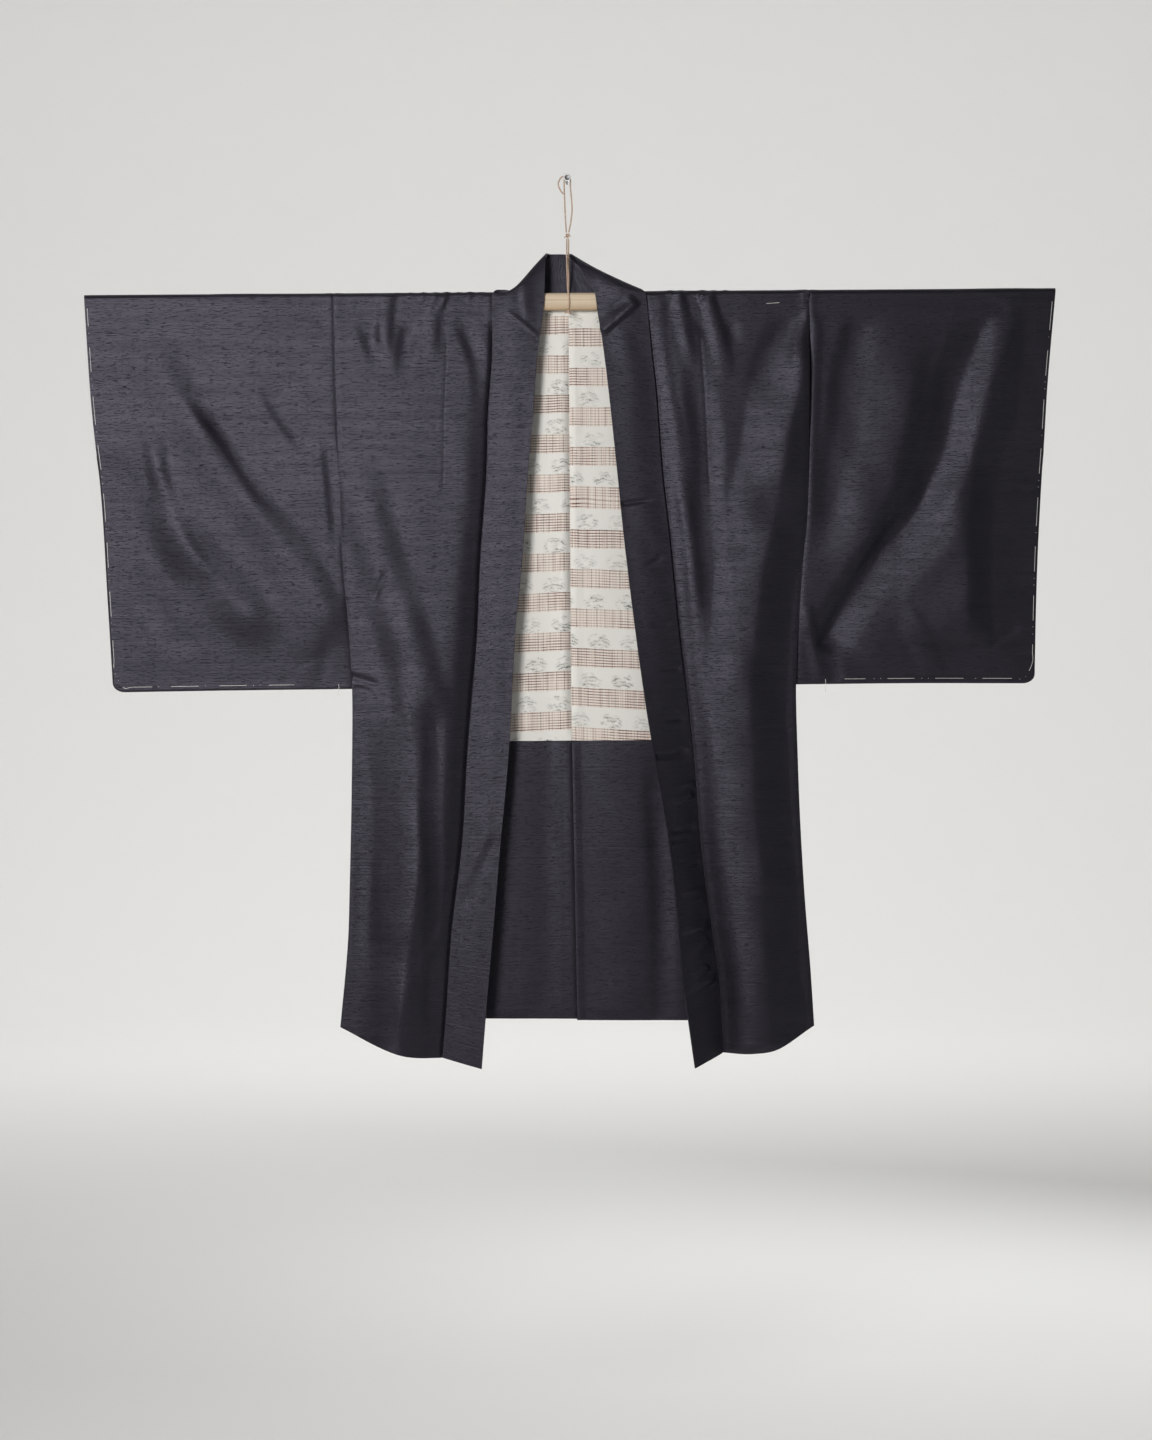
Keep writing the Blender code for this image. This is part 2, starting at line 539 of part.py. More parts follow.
def collar():
    """One long folded band, ruled from seam edge to free edge."""
    rows = COLLAR_FRONT_RIGHT + COLLAR_NECK + COLLAR_FRONT_LEFT
    middles = [(Vector(a) + Vector(b)) / 2 for a, b in rows]
    spots = [0.0]
    for a, b in zip(middles, middles[1:]):
        spots.append(spots[-1] + (b - a).length)
    columns = 3
    across = []
    for share in range(columns + 1):
        line = [Vector(a).lerp(Vector(b), share / columns) for a, b in rows]
        across.append(line)
    stations = []
    for k, (here, there) in enumerate(zip(spots, spots[1:])):
        steps = max(1, round((there - here) / COLLAR_STEP))
        stations += [k + s / steps for s in range(steps)]
    stations.append(len(rows) - 1.0)
    grid = {}
    for i, line in enumerate(across):
        tables = [tuple((k, point[axis]) for k, point in enumerate(line)) for axis in range(3)]
        for j, at in enumerate(stations):
            grid[i, j] = Vector([read(table, at) for table in tables])
    cells = [quad(i, j) for i in range(columns) for j in range(len(stations) - 1)]
    cloth_piece("collar", grid, cells, COLLAR, BLACK_SILK)


def hanger_rod():
    """Slat of rounded-rectangle section."""
    half_y, half_z = ROD_DEPTH / 2 - ROD_ROUND, ROD_HEIGHT / 2 - ROD_ROUND
    middle_z = ROD_TOP - ROD_HEIGHT / 2
    section = []
    steps = 4
    for corner, (cy, cz) in enumerate(((1, 1), (-1, 1), (-1, -1), (1, -1))):
        for k in range(steps + 1):
            turn = math.pi / 2 * (corner + k / steps)
            section.append((ROD_Y + cy * half_y + ROD_ROUND * math.cos(turn),
                            middle_z + cz * half_z + ROD_ROUND * math.sin(turn)))
    count = len(section)
    points = [(x, y, z) for x in ROD_ENDS for y, z in section]
    faces = [(k, (k + 1) % count, count + (k + 1) % count, count + k) for k in range(count)]
    faces = [tuple(reversed(face)) for face in faces]
    faces += [tuple(range(count)), tuple(range(2 * count - 1, count - 1, -1))]
    rod = new_object("hanger_rod", points, faces, SLAT_WOOD, 0.6)
    mesh = bmesh.new()
    mesh.from_mesh(rod.data)
    bmesh.ops.recalc_face_normals(mesh, faces=mesh.faces)
    mesh.to_mesh(rod.data)
    mesh.free()


def wall_nail():
    """Nail turned about its axis, from its flat rear end on the wall to its rounded head."""
    tip = NAIL_LENGTH + NAIL_HEAD_THICK
    profile = ((0.0, 0.0), (NAIL_RADIUS, 0.0), (NAIL_RADIUS, -NAIL_LENGTH),
               (NAIL_HEAD_RADIUS, -NAIL_LENGTH), (NAIL_HEAD_RADIUS, -tip + 0.0008),
               (NAIL_HEAD_RADIUS - 0.0008, -tip), (0.0, -tip))
    sides = 20
    points = []
    rings = []
    for radius, y in profile:
        if radius == 0.0:
            rings.append([len(points)] * sides)
            points.append((0.0, y, 0.0))
            continue
        rings.append(list(range(len(points), len(points) + sides)))
        for k in range(sides):
            turn = 2 * math.pi * k / sides
            points.append((radius * math.cos(turn), y, radius * math.sin(turn)))
    faces = []
    for a, b in zip(rings, rings[1:]):
        for k in range(sides):
            n = (k + 1) % sides
            face = [a[k], a[n], b[n], b[k]]
            faces.append(tuple(dict.fromkeys(face)))
    nail = new_object("wall_nail", points, faces, NAIL_PAINT, 0.35)
    mesh = bmesh.new()
    mesh.from_mesh(nail.data)
    bmesh.ops.recalc_face_normals(mesh, faces=mesh.faces)
    mesh.to_mesh(nail.data)
    mesh.free()


def twine():
    """Loop over the nail, the slack turn beside it, and the strands that hold the slat."""
    for name, route in TWINE_STRANDS.items():
        curve = bpy.data.curves.new(name, "CURVE")
        curve.dimensions = "3D"
        curve.bevel_depth = TWINE / 2
        curve.bevel_resolution = 2
        curve.use_fill_caps = True
        step = TWINE_TURN_STEP if name == "twine_nail_loop" else TWINE_STEP
        points = through(route, step)
        spline = curve.splines.new("POLY")
        spline.points.add(len(points) - 1)
        for slot, point in zip(spline.points, points):
            slot.co = (*point, 1.0)
        strand = bpy.data.objects.new(name, curve)
        bpy.context.scene.collection.objects.link(strand)
        finish(strand, JUTE, 0.9)


def knot(name, centre, size):
    """Rounded lump of a tied knot."""
    mesh = bpy.data.meshes.new(name)
    shape = bmesh.new()
    bmesh.ops.create_icosphere(shape, subdivisions=2, radius=1.0)
    for vertex in shape.verts:
        vertex.co = centre + Vector([a * b for a, b in zip(vertex.co, size)])
    shape.to_mesh(mesh)
    shape.free()
    mesh.shade_smooth()
    lump = bpy.data.objects.new(name, mesh)
    bpy.context.scene.collection.objects.link(lump)
    finish(lump, JUTE, 0.9)


def clear_scene():
    for thing in list(bpy.data.objects):
        bpy.data.objects.remove(thing, do_unlink=True)


def build():
    clear_scene()
    wall_nail()
    twine()
    knot("twine_knot_top", KNOT_TOP, KNOT_TOP_SIZE)
    knot("twine_knot_foot", KNOT_FOOT, KNOT_FOOT_SIZE)
    hanger_rod()
    lining_lift = CLOTH / 2 + GAP + LINING / 2
    facing_lift = CLOTH / 2 + GAP + CLOTH / 2
    for side in ("right", "left"):
        body_half(side)
        sleeve(side)
        side_gusset(side)
        back_layer("lining_" + side, side, 0, LINING_ROWS, lining_lift, LINING, LINING_SILK)
        back_layer("hem_facing_" + side, side, LINING_ROWS, FACING_ROWS, facing_lift, CLOTH,
                   BLACK_SILK)
    collar()


build()
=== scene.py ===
"""Haori jacket of slubbed black silk, hung flat and open on a slat that a twine holds to a nail.

Metres, +Z up, fronts towards -Y.  Pieces are named for the wearer's side: the wearer's right is
at -X.  Run as a script, every operator below is called once, in order.
"""

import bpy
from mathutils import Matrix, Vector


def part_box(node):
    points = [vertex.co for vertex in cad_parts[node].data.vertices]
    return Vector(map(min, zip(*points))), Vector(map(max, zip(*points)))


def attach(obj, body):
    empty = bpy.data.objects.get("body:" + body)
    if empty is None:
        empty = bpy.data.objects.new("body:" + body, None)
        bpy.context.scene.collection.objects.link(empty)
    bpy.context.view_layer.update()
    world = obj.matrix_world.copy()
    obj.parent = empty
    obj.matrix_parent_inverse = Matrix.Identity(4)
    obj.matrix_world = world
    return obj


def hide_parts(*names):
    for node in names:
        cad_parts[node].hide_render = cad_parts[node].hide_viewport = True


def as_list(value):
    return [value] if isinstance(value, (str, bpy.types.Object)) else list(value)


bl_info = {
    "name": "Hung haori jacket",
    "version": (1, 0, 0),
    "blender": (4, 5, 0),
    "location": "3D View > Sidebar > Haori",
    "description": "Makes the cloth, sewing, twine and studio of a hung haori jacket",
    "category": "Object",
}

import math

import bmesh
import bpy
import numpy as np
from mathutils import Vector

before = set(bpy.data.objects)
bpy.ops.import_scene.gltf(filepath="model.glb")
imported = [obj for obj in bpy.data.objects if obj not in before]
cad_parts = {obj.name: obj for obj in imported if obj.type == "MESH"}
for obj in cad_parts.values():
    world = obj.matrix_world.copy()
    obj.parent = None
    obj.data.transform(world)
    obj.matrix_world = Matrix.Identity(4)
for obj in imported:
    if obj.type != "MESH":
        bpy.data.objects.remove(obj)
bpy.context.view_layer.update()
BODY = "root"
SIDES = ("right", "left")
OTHER = {"right": "left", "left": "right"}
AWAY = {"right": -1, "left": 1}
TURN = 2 * math.pi

# ---------------------------------------------------------------------------------------------
# Sizes of the cut and of the hang
# ---------------------------------------------------------------------------------------------
# Thickness of each cloth, air between two pieces, and how far a front runs under the collar.
CLOTH = 0.0012
LINING = 0.0010
COLLAR = 0.0024
GAP = 0.0003
UNDERLAP = 0.0040
# Share of the thickness that an edge is rolled by.
EDGE_ROUND = 0.42
COLLAR_EDGE_ROUND = 0.44

SLAT_LOW, SLAT_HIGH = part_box("hanger_rod")
SLAT_ROUND = 0.0050
FRONT_Y = SLAT_LOW.y - GAP - CLOTH / 2
BACK_Y = -0.0171
OVER_Z = SLAT_HIGH.z + GAP + CLOTH / 2
FRONT_ROUND = SLAT_ROUND + GAP + CLOTH / 2
BACK_ROUND = 0.0080
FRONT_TOP = OVER_Z - FRONT_ROUND
NECK_Z = OVER_Z - BACK_ROUND
UNDER_SLAT = SLAT_LOW.z - 0.0056
SLAT_STEPS = 8
# Eased ends of the slat, as (length from its end, inset), and the waver of its planed faces.
SLAT_ENDS = ((0.0, 0.0016), (0.0003, 0.0008), (0.0009, 0.0003), (0.0020, 0.0))
SLAT_WAVER = 0.00012

# Nominal breadths and lengths, which set how many cells a piece gets.
BACK_BREADTH = 0.245
FRONT_BREADTH = 0.205
FRONT_LENGTH = 1.0
FACING_LENGTH = 0.375
SLEEVE_BREADTH = 0.335
SLEEVE_LENGTH = 0.520
COLLAR_BREADTH = 0.061
# Finer cells from a sleeve's end inwards, so that its cuff's edge is round.
SLEEVE_FINE = (0.0001, 0.0004, 0.0009, 0.0016, 0.0024, 0.0045)
# Share of the back's breadth that lies outside the neckline.
NECK_SHARE = 0.75

# Height where the cuff's opening ends.  A sleeve closes, and its cuff's edge rounds, from the first
# length above that height, over the second.
CUFF_FOOT = -0.3850
CUFF_CLOSING = (0.04, 0.06)
CUFF_ROUNDING = (0.02, 0.04)
# Thickness of a sleeve's closed edge, reach in which it closes, and where between front and back.
BAG_EDGE = 0.0040
BAG_CLOSE = 0.0600
BAG_MEET = 0.42
LINING_FOOT = -0.7525
# Height of a side wedge's point, its depth inwards at the top and at the hem, its cut's breadth,
# how far it ends above the hem and inside the side's edge, and the air on either side of it.
GUSSET_TOP = -0.4000
GUSSET_TUCK = (0.0100, 0.0270)
GUSSET_BREADTH = 0.0400
GUSSET_COLUMNS = 15
GUSSET_SHORT = 0.0020
GUSSET_INSET = 0.0008
GUSSET_AIR = GAP + 0.0003
# A front's belly reaches its full depth at this share of its breadth, from the side.
BELLY_FULL = 1 / 1.6
# Share of a front's length from which its rows bend towards the hem, and the height from which it
# runs under the collar.
HEM_FROM = 0.45
UNDERLAP_FROM = -0.165
# Seams: width of the trough beside the collar, depths of the grooves, and the lips beside them.
SEAM_TROUGH_WIDTH = 0.0190
COLLAR_GROOVE = {"right": 0.0036, "left": 0.0024}
SIDE_GROOVE = 0.0009
SEAM_NOTCH_REACH = 0.0028
SEAM_LIP = 0.0010
SEAM_LIP_REACH = 0.0080
# Reach in which cloth comes free below the slat, and in which a sleeve's back leaves the armhole.
FREE_REACH = 0.030

# Side of each front, shoulder to hem: (z, x).
SIDE_EDGE = {
    "right": ((-0.150, -0.3136), (-0.269, -0.3119), (-0.417, -0.3068), (-0.508, -0.3040),
              (-0.585, -0.2981), (-0.651, -0.2938), (-0.680, -0.2927), (-0.807, -0.2942),
              (-0.942, -0.2979), (-1.018, -0.3007), (-1.134, -0.3119)),
    "left": ((-0.150, 0.3219), (-0.350, 0.3205), (-0.458, 0.3172), (-0.513, 0.3117),
             (-0.596, 0.3055), (-0.677, 0.3015), (-0.774, 0.3030), (-0.870, 0.3061),
             (-0.965, 0.3112), (-1.061, 0.3182), (-1.136, 0.3226)),
}
# Seam of each front to the collar, shoulder to hem: (z, x).
COLLAR_SEAM = {
    "right": ((-0.158, -0.1010), (-0.237, -0.1017), (-0.314, -0.1077), (-0.392, -0.1106),
              (-0.510, -0.1202), (-0.617, -0.1258), (-0.705, -0.1342), (-0.770, -0.1395),
              (-0.885, -0.1470), (-1.000, -0.1612), (-1.115, -0.1700), (-1.176, -0.1752)),
    "left": ((-0.158, 0.1040), (-0.225, 0.1102), (-0.283, 0.1165), (-0.394, 0.1245),
             (-0.485, 0.1340), (-0.608, 0.1452), (-0.715, 0.1575), (-0.791, 0.1646),
             (-0.888, 0.1713), (-0.984, 0.1826), (-1.079, 0.1953), (-1.172, 0.2000)),
}
# Cuff edge of each sleeve: (z, x), and the foot of the sleeve from armhole to cuff: (u, z).
CUFF_EDGE = {
    "right": ((-0.150, -0.6470), (-0.292, -0.6389), (-0.426, -0.6265), (-0.560, -0.6195),
              (-0.660, -0.6142), (-0.684, -0.6130)),
    "left": ((-0.150, 0.6520), (-0.281, 0.6400), (-0.383, 0.6336), (-0.515, 0.6260),
             (-0.658, 0.6215), (-0.684, 0.6210)),
}
SLEEVE_FOOT = {
    "right": ((0.0, -0.6804), (0.5, -0.6812), (1.0, -0.6827)),
    "left": ((0.0, -0.6784), (0.5, -0.6780), (1.0, -0.6793)),
}
# Radius of the corner between foot and cuff, and the share of it that the foot rises by.
SLEEVE_CORNER = 0.0150
SLEEVE_CORNER_SHARE = 0.8
# Hem of each front from side to collar, and of each back half from side to centre: (u, z).
FRONT_HEM = {
    "right": ((0.0, -1.1335), (0.32, -1.1568), (0.63, -1.1722), (1.0, -1.1755)),
    "left": ((0.0, -1.1360), (0.40, -1.1665), (0.65, -1.1716), (1.0, -1.1713)),
}
BACK_HEM = {
    "right": ((0.0, -1.1236), (1.0, -1.1262)),
    "left": ((0.0, -1.1307), (1.0, -1.1280)),
}
CENTRE_SEAM = ((-0.150, 0.0004), (-0.263, 0.0006), (-0.753, 0.0008), (-0.930, 0.0029),
               (-1.131, 0.0051))
# Neckline where it crosses the slat, as x at the front, the top and the back.
NECK_CROSS = {"right": (-0.1010, -0.0800, -0.0700), "left": (0.1040, 0.0860, 0.0670)}

# Depth of the cloth: (z, y) at the armhole and side, the belly of the front, and the collar seam.
SIDE_DEPTH = ((-0.150, FRONT_Y), (UNDER_SLAT, FRONT_Y), (-0.400, -0.0358), (-0.700, -0.0335),
              (-1.140, -0.0315))
BELLY_DEPTH = ((-0.150, FRONT_Y), (UNDER_SLAT, FRONT_Y), (-0.300, -0.0405), (-0.600, -0.0425),
               (-0.900, -0.0440), (-1.180, -0.0450))
SEAM_DEPTH = {
    "right": ((-0.150, FRONT_Y), (UNDER_SLAT, FRONT_Y), (-0.300, -0.0368), (-0.600, -0.0352),
              (-0.900, -0.0348), (-1.180, -0.0360)),
    "left": ((-0.150, FRONT_Y), (UNDER_SLAT, FRONT_Y), (-0.300, -0.0368), (-0.600, -0.0352),
             (-0.780, -0.0330), (-0.900, -0.0305), (-1.180, -0.0300)),
}
BACK_DEPTH = ((-0.150, BACK_Y), (UNDER_SLAT, BACK_Y), (-0.700, -0.0150), (-1.131, -0.0135))

# Folds in millimetres.  Each row holds: rise towards the viewer, reach to its left, reach to its
# right, roundness of its crown, share of its length that it fades in over, share that it fades
# out over, then the x, z of each point that it follows downwards.  A crown under 3 mm is a
# crease with plane flanks.
SLEEVE_FOLDS = {
    "right": (
        (5.2, 42, 30, 2.5, 0.25, 0.1, -564, -169, -555, -223, -536, -263, -481, -361, -426, -432,
         -348, -544, -305, -628),
        (5, 45, 32, 2.8, 0.35, 0.2, -549, -368, -543, -401, -530, -445, -506, -490, -457, -550,
         -387, -621),
        (3, 18, 13, 2.5, 0.3, 0.4, -554, -310, -552, -347, -547, -394, -535, -442),
        (-2.2, 10, 30, 5, 0.3, 0.4, -512, -274, -446, -368, -386, -446),
        (1.6, 46, 18, 4, 0.3, 0.3, -580, -292, -558, -386, -516, -487, -468, -555, -426, -621),
        (-2.2, 14, 30, 4, 0.3, 0.4, -410, -264, -373, -327, -336, -377),
        (-2.2, 9, 10, 3, 0.3, 0.4, -325, -334, -316, -428, -310, -511),
        (-1, 10, 20, 3, 0.3, 0.4, -610, -232, -595, -272, -587, -312),
        (-1.6, 14, 30, 4, 0.3, 0.4, -599, -517, -567, -565, -538, -614, -525, -651),
    ),
    "left": (
        (-2.8, 22, 36, 4, 0.05, 0.25, 401, -162, 383, -206, 371, -272, 365, -339, 351, -419, 340,
         -508),
        (5, 52, 26, 5, 0.4, 0.2, 477, -182, 460, -233, 447, -300, 433, -366, 414, -433, 393, -487,
         375, -521, 356, -556),
        (-7.8, 42, 36, 2, 0.05, 0.45, 567, -163, 552, -214, 531, -268, 514, -314, 497, -378, 475,
         -428, 438, -480, 399, -527),
        (-5.8, 26, 60, 2, 0.45, 0.08, 514, -314, 497, -378, 475, -428, 438, -480, 399, -527, 373,
         -569, 344, -615, 331, -636),
        (-4.2, 9, 40, 1, 0.45, 0.05, 472, -404, 438, -461, 404, -509, 373, -559, 343, -612, 330,
         -636),
        (6, 60, 40, 2, 0.08, 0.25, 571, -167, 566, -258, 561, -317, 541, -370, 534, -418, 531,
         -474),
        (8, 90, 34, 2, 0.3, 0.1, 537, -378, 533, -434, 531, -514, 529, -632),
        (2.5, 10, 8, 2, 0.2, 0.2, 315, -566, 323, -613, 336, -681),
        (-2.2, 8, 10, 2, 0.3, 0.3, 607, -598, 580, -614, 554, -627),
        (-1, 3, 3, 1, 0.3, 0.3, 529, -572, 575, -572, 610, -572),
        (-1.6, 10, 12, 4, 0.3, 0.2, 339, -631, 350, -652, 357, -679),
        (2, 18, 16, 5, 0.3, 0.3, 441, -567, 470, -621, 494, -680),
        (1.2, 8, 8, 3, 0.1, 0.3, 332, -165, 325, -326, 316, -513),
    ),
}
BODY_FOLDS = {
    "right": (
        (-2.8, 14, 16, 4, 0.04, 0.45, -283, -154, -276, -181, -262, -225, -254, -262),
        (-3, 14, 13, 3, 0.04, 0.45, -204, -158, -212, -199, -220, -242, -225, -283),
        (2.8, 14, 14, 3, 0.02, 0.5, -239, -155, -246, -202, -250, -252),
        (2.6, 14, 12, 3, 0.02, 0.5, -175, -155, -182, -202, -181, -255),
        (-3, 14, 12, 4, 0.02, 0.4, -151, -157, -138, -199, -117, -256, -112, -330),
        (5.8, 40, 38, 4, 0.3, 0.12, -307, -346, -285, -396, -270, -457, -252, -524, -227, -598,
         -205, -672, -194, -740),
        (-1.6, 5, 5, 1.5, 0.3, 0.3, -241, -519, -254, -543, -266, -570),
        (-2.6, 5, 5, 1.5, 0.05, 0.5, -294, -664, -274, -670, -250, -679),
        (-2, 4, 5, 1, 0.05, 0.5, -291, -680, -277, -682, -261, -688),
        (8, 56, 30, 2.9, 0.2, 0.02, -234, -643, -213, -750, -206, -857, -212, -977, -229, -1097,
         -237, -1183),
        (-2, 14, 13, 4, 0.2, 0.02, -186, -683, -185, -897, -187, -1183),
        (-1.4, 22, 22, 6, 0.4, 0.02, -274, -731, -278, -936, -277, -1175),
        (1.7, 10, 8, 2, 0.3, 0.3, -168, -991, -187, -1028, -204, -1063),
    ),
    "left": (
        (2.6, 10, 16, 2, 0.02, 0.2, 112, -153, 120, -230, 133, -324, 144, -405, 155, -485, 160,
         -579, 165, -639),
        (-3, 20, 24, 5, 0.25, 0.3, 173, -231, 178, -338, 183, -432, 189, -525, 195, -619),
        (10, 60, 45, 2.9, 0.06, 0.02, 326, -195, 318, -225, 311, -267, 298, -325, 285, -392, 271,
         -464, 254, -552, 243, -646, 239, -753, 244, -860, 254, -967, 263, -1178),
        (-4.4, 26, 26, 5, 0.02, 0.6, 313, -156, 289, -200, 267, -256, 253, -312),
        (2.6, 16, 13, 3, 0.02, 0.4, 321, -156, 311, -225, 304, -296),
        (-2.2, 10, 10, 2, 0.02, 0.5, 163, -155, 176, -193, 192, -231),
        (2, 10, 10, 2, 0.02, 0.4, 147, -154, 155, -204, 168, -260),
        (-2.4, 12, 12, 2, 0.02, 0.5, 201, -155, 214, -198, 221, -234),
        (2.2, 12, 12, 3, 0.02, 0.4, 185, -155, 200, -218, 216, -278),
        (-1.2, 3, 3, 1, 0.3, 0.3, 237, -741, 266, -738, 301, -740),
        (-1.4, 3, 4, 0.8, 0.05, 0.5, 187, -995, 196, -1003),
        (-1.4, 3, 4, 0.8, 0.05, 0.5, 197, -1062, 206, -1072),
        (-1, 3, 3, 0.8, 0.05, 0.6, 158, -718, 172, -719),
    ),
}
# Gathers where the shoulder bunches on the slat, in millimetres: (x at the top, rise, length).
SHOULDER_GATHERS = {
    "right": ((-226, 1, 20), (-208, 1.4, 30), (-191, 1.8, 36), (-175, 1.4, 26), (-160, 2, 38),
              (-144, 1.4, 24), (-129, 1.8, 32), (-113, 1.2, 22)),
    "left": ((139, 1.2, 22), (153, 1, 26), (182, 1.4, 30), (197, 1, 20), (213, 1.1, 24)),
}
GATHER_TOP = -146
for near, gathers in SHOULDER_GATHERS.items():
    BODY_FOLDS[near] += tuple((rise, 6, 4, 1, 0.02, 0.7, x, GATHER_TOP, x - 0.15 * run,
                               GATHER_TOP - run / 2, x - 0.35 * run, GATHER_TOP - run)
                              for x, rise, run in gathers)
# Folds of the back, seen from the front through the opening and from behind.
BACK_FOLDS = (
    (3, 42, 42, 8, 0.1, 0.1, -290, -200, -215, -420, -190, -760),
    (-3.5, 29, 29, 6, 0.1, 0.05, -190, -230, -205, -700, -215, -1135),
    (3, 38, 38, 8, 0.1, 0.1, 285, -200, 225, -430, 200, -740),
    (-3.5, 29, 29, 6, 0.1, 0.05, 185, -260, 205, -700, 220, -1135),
    (1.4, 18, 19, 4, 0.2, 0.05, -13, -300, -12, -700, -9, -1135),
    (-2, 16, 22, 3, 0.15, 0.05, 110, -770, 117, -930, 118, -1135),
    (1.8, 48, 42, 10, 0.2, 0.05, 60, -700, 66, -900, 62, -1135),
    (1.6, 38, 32, 10, 0.2, 0.05, -75, -720, -70, -920, -80, -1135),
)
BACK_FOLD_SHARE = 0.70
# A fold that reaches past BROAD_FOLD wanders and varies in strength: (how much, over what width
# and height, seed).  A fold's line has points FOLD_STEP apart.  A crown under CREASE_CROWN makes
# a crease, whose flanks are plane by the share CREASE_PLANE.
BROAD_FOLD = 0.010
FOLD_DRIFT = (0.0035, 0.045, 0.070, 61)
FOLD_STRENGTH = (0.35, 0.070, 0.055, 67)
FOLD_STEP = 0.010
CREASE_CROWN = 0.0030
CREASE_PLANE = 0.7
# Slight unevenness of hanging silk: (rise, width, height) of its broad and of its small swells.
BROAD_SWELL = (0.0011, 0.085, 0.210)
SMALL_SWELL = (0.0004, 0.032, 0.075)
# Seeds of the slight unevenness of each piece.
BODY_SEED = {"right": 11, "left": 23}
SLEEVE_SEED = {"right": 71, "left": 83}
LINING_SEED = {"right": 5, "left": 9}
BACK_SEED, SLEEVE_BACK_SEED, LIP_SEED, RIPPLE_SEED, COLLAR_SEED = 37, 53, 33, 97, 91

# The collar is ruled from its seam edge to its free edge.  Rows in millimetres run from the
# wearer's right hem to the left one: x, y, z of the seam edge, x, y, z of the free edge.
COLLAR_ROWS = (
    # Right front, hem to shoulder
    (-174.5, -40.6, -1174.5, -122.4, -49, -1189),
    (-169, -40.2, -1110, -116.5, -48.6, -1120),
    (-160.2, -39.8, -1000, -105.5, -48, -1005),
    (-146, -39.6, -885, -94.5, -47.6, -885),
    (-138.5, -39.4, -770, -83.2, -47, -769),
    (-124.8, -39.1, -617, -74.2, -46.2, -615),
    (-119.2, -39.2, -510, -63.5, -45.5, -508),
    (-109.6, -39.4, -392, -55, -44.8, -390),
    (-106.7, -39.6, -314, -47.5, -44, -313),
    (-100.7, -40.3, -237, -41.3, -42.5, -235),
    (-101, -40.9, -185, -34, -40.5, -185),
    # Round the neck
    (-101.5, -41.5, -159, -31.3, -40.2, -152),
    (-97.5, -39.7, -150.6, -30.3, -38.6, -128),
    (-88, -33.5, -149, -29.5, -34, -108),
    (-80, -27.2, -149, -28.5, -28.5, -100.5),
    (-74, -19.5, -151.2, -26.5, -21.5, -99),
    (-68, -15, -159, -23.5, -16.5, -98.7),
    (-55, -15, -161.2, -19, -15.2, -98.6),
    (-30, -15, -161.5, -13.5, -15, -98.6),
    (0, -15, -161.5, -8.5, -15, -98.7),
    (30, -15, -161.5, -4.5, -15, -98.9),
    (54, -15, -161.2, -1.5, -15.2, -99.2),
    (66, -15.2, -159, 1.2, -17, -99.5),
    (76.5, -19.5, -151.2, 3.4, -22, -100),
    (86, -27.2, -149, 6.6, -29, -103),
    (95, -36, -149, 13, -35, -113),
    (102.5, -40.7, -154.2, 24.5, -39.4, -134),
    (104.5, -41.5, -160.5, 34.8, -40.2, -150),
    # Left front, shoulder to hem
    (107.2, -40.9, -190, 39.2, -40.7, -180),
    (111, -40.3, -235, 45.5, -42.5, -220),
    (116.5, -39.6, -290, 53, -44, -283),
    (123.5, -39.4, -394, 63.8, -44.8, -392),
    (133, -39.2, -485, 72.7, -45.5, -486),
    (144.2, -38.4, -608, 87, -49, -610),
    (156.5, -35.2, -715, 101.5, -52, -718),
    (163.6, -33.2, -791, 114, -54.5, -792),
    (170.3, -30.8, -888, 130, -56.8, -890),
    (181.6, -30.4, -984, 140, -57.8, -986),
    (194.3, -30.2, -1079, 148, -58.2, -1083),
    (199, -30, -1172, 161.8, -58.2, -1189),
)
# Droop of the collar on the wearer's right shoulder, and the rows that it spans with its share.
NECK_DROOP = 0.0098
NECK_DROOP_ROWS = ((10.5, 11.5, 12.5, 14.5, 16.5), (0.0, 0.6, 1.0, 1.0, 0.0))
# Cells are finer above this height, and on the left front beyond this x.
FINE_COLLAR = (-0.24, 0.06)
# Cells across the collar, the finer ones at its edges, and those at its two hems.
COLLAR_CELL = 0.0026
COLLAR_FINE = (0.0005, 0.0013, 0.0028)
COLLAR_HEM_FINE = (0.0006, 0.0018)
# Its creases show from this depth forwards, eased in over the second length.
COLLAR_FRONT = (-0.0300, 0.006)
# Rise of its padding, share of the silk's swells in it, and its fine ripple: (rise, width, height).
COLLAR_PUFF = 0.0012
COLLAR_SWELL = 0.4
COLLAR_RIPPLE = (0.0004, 0.060, 0.045)
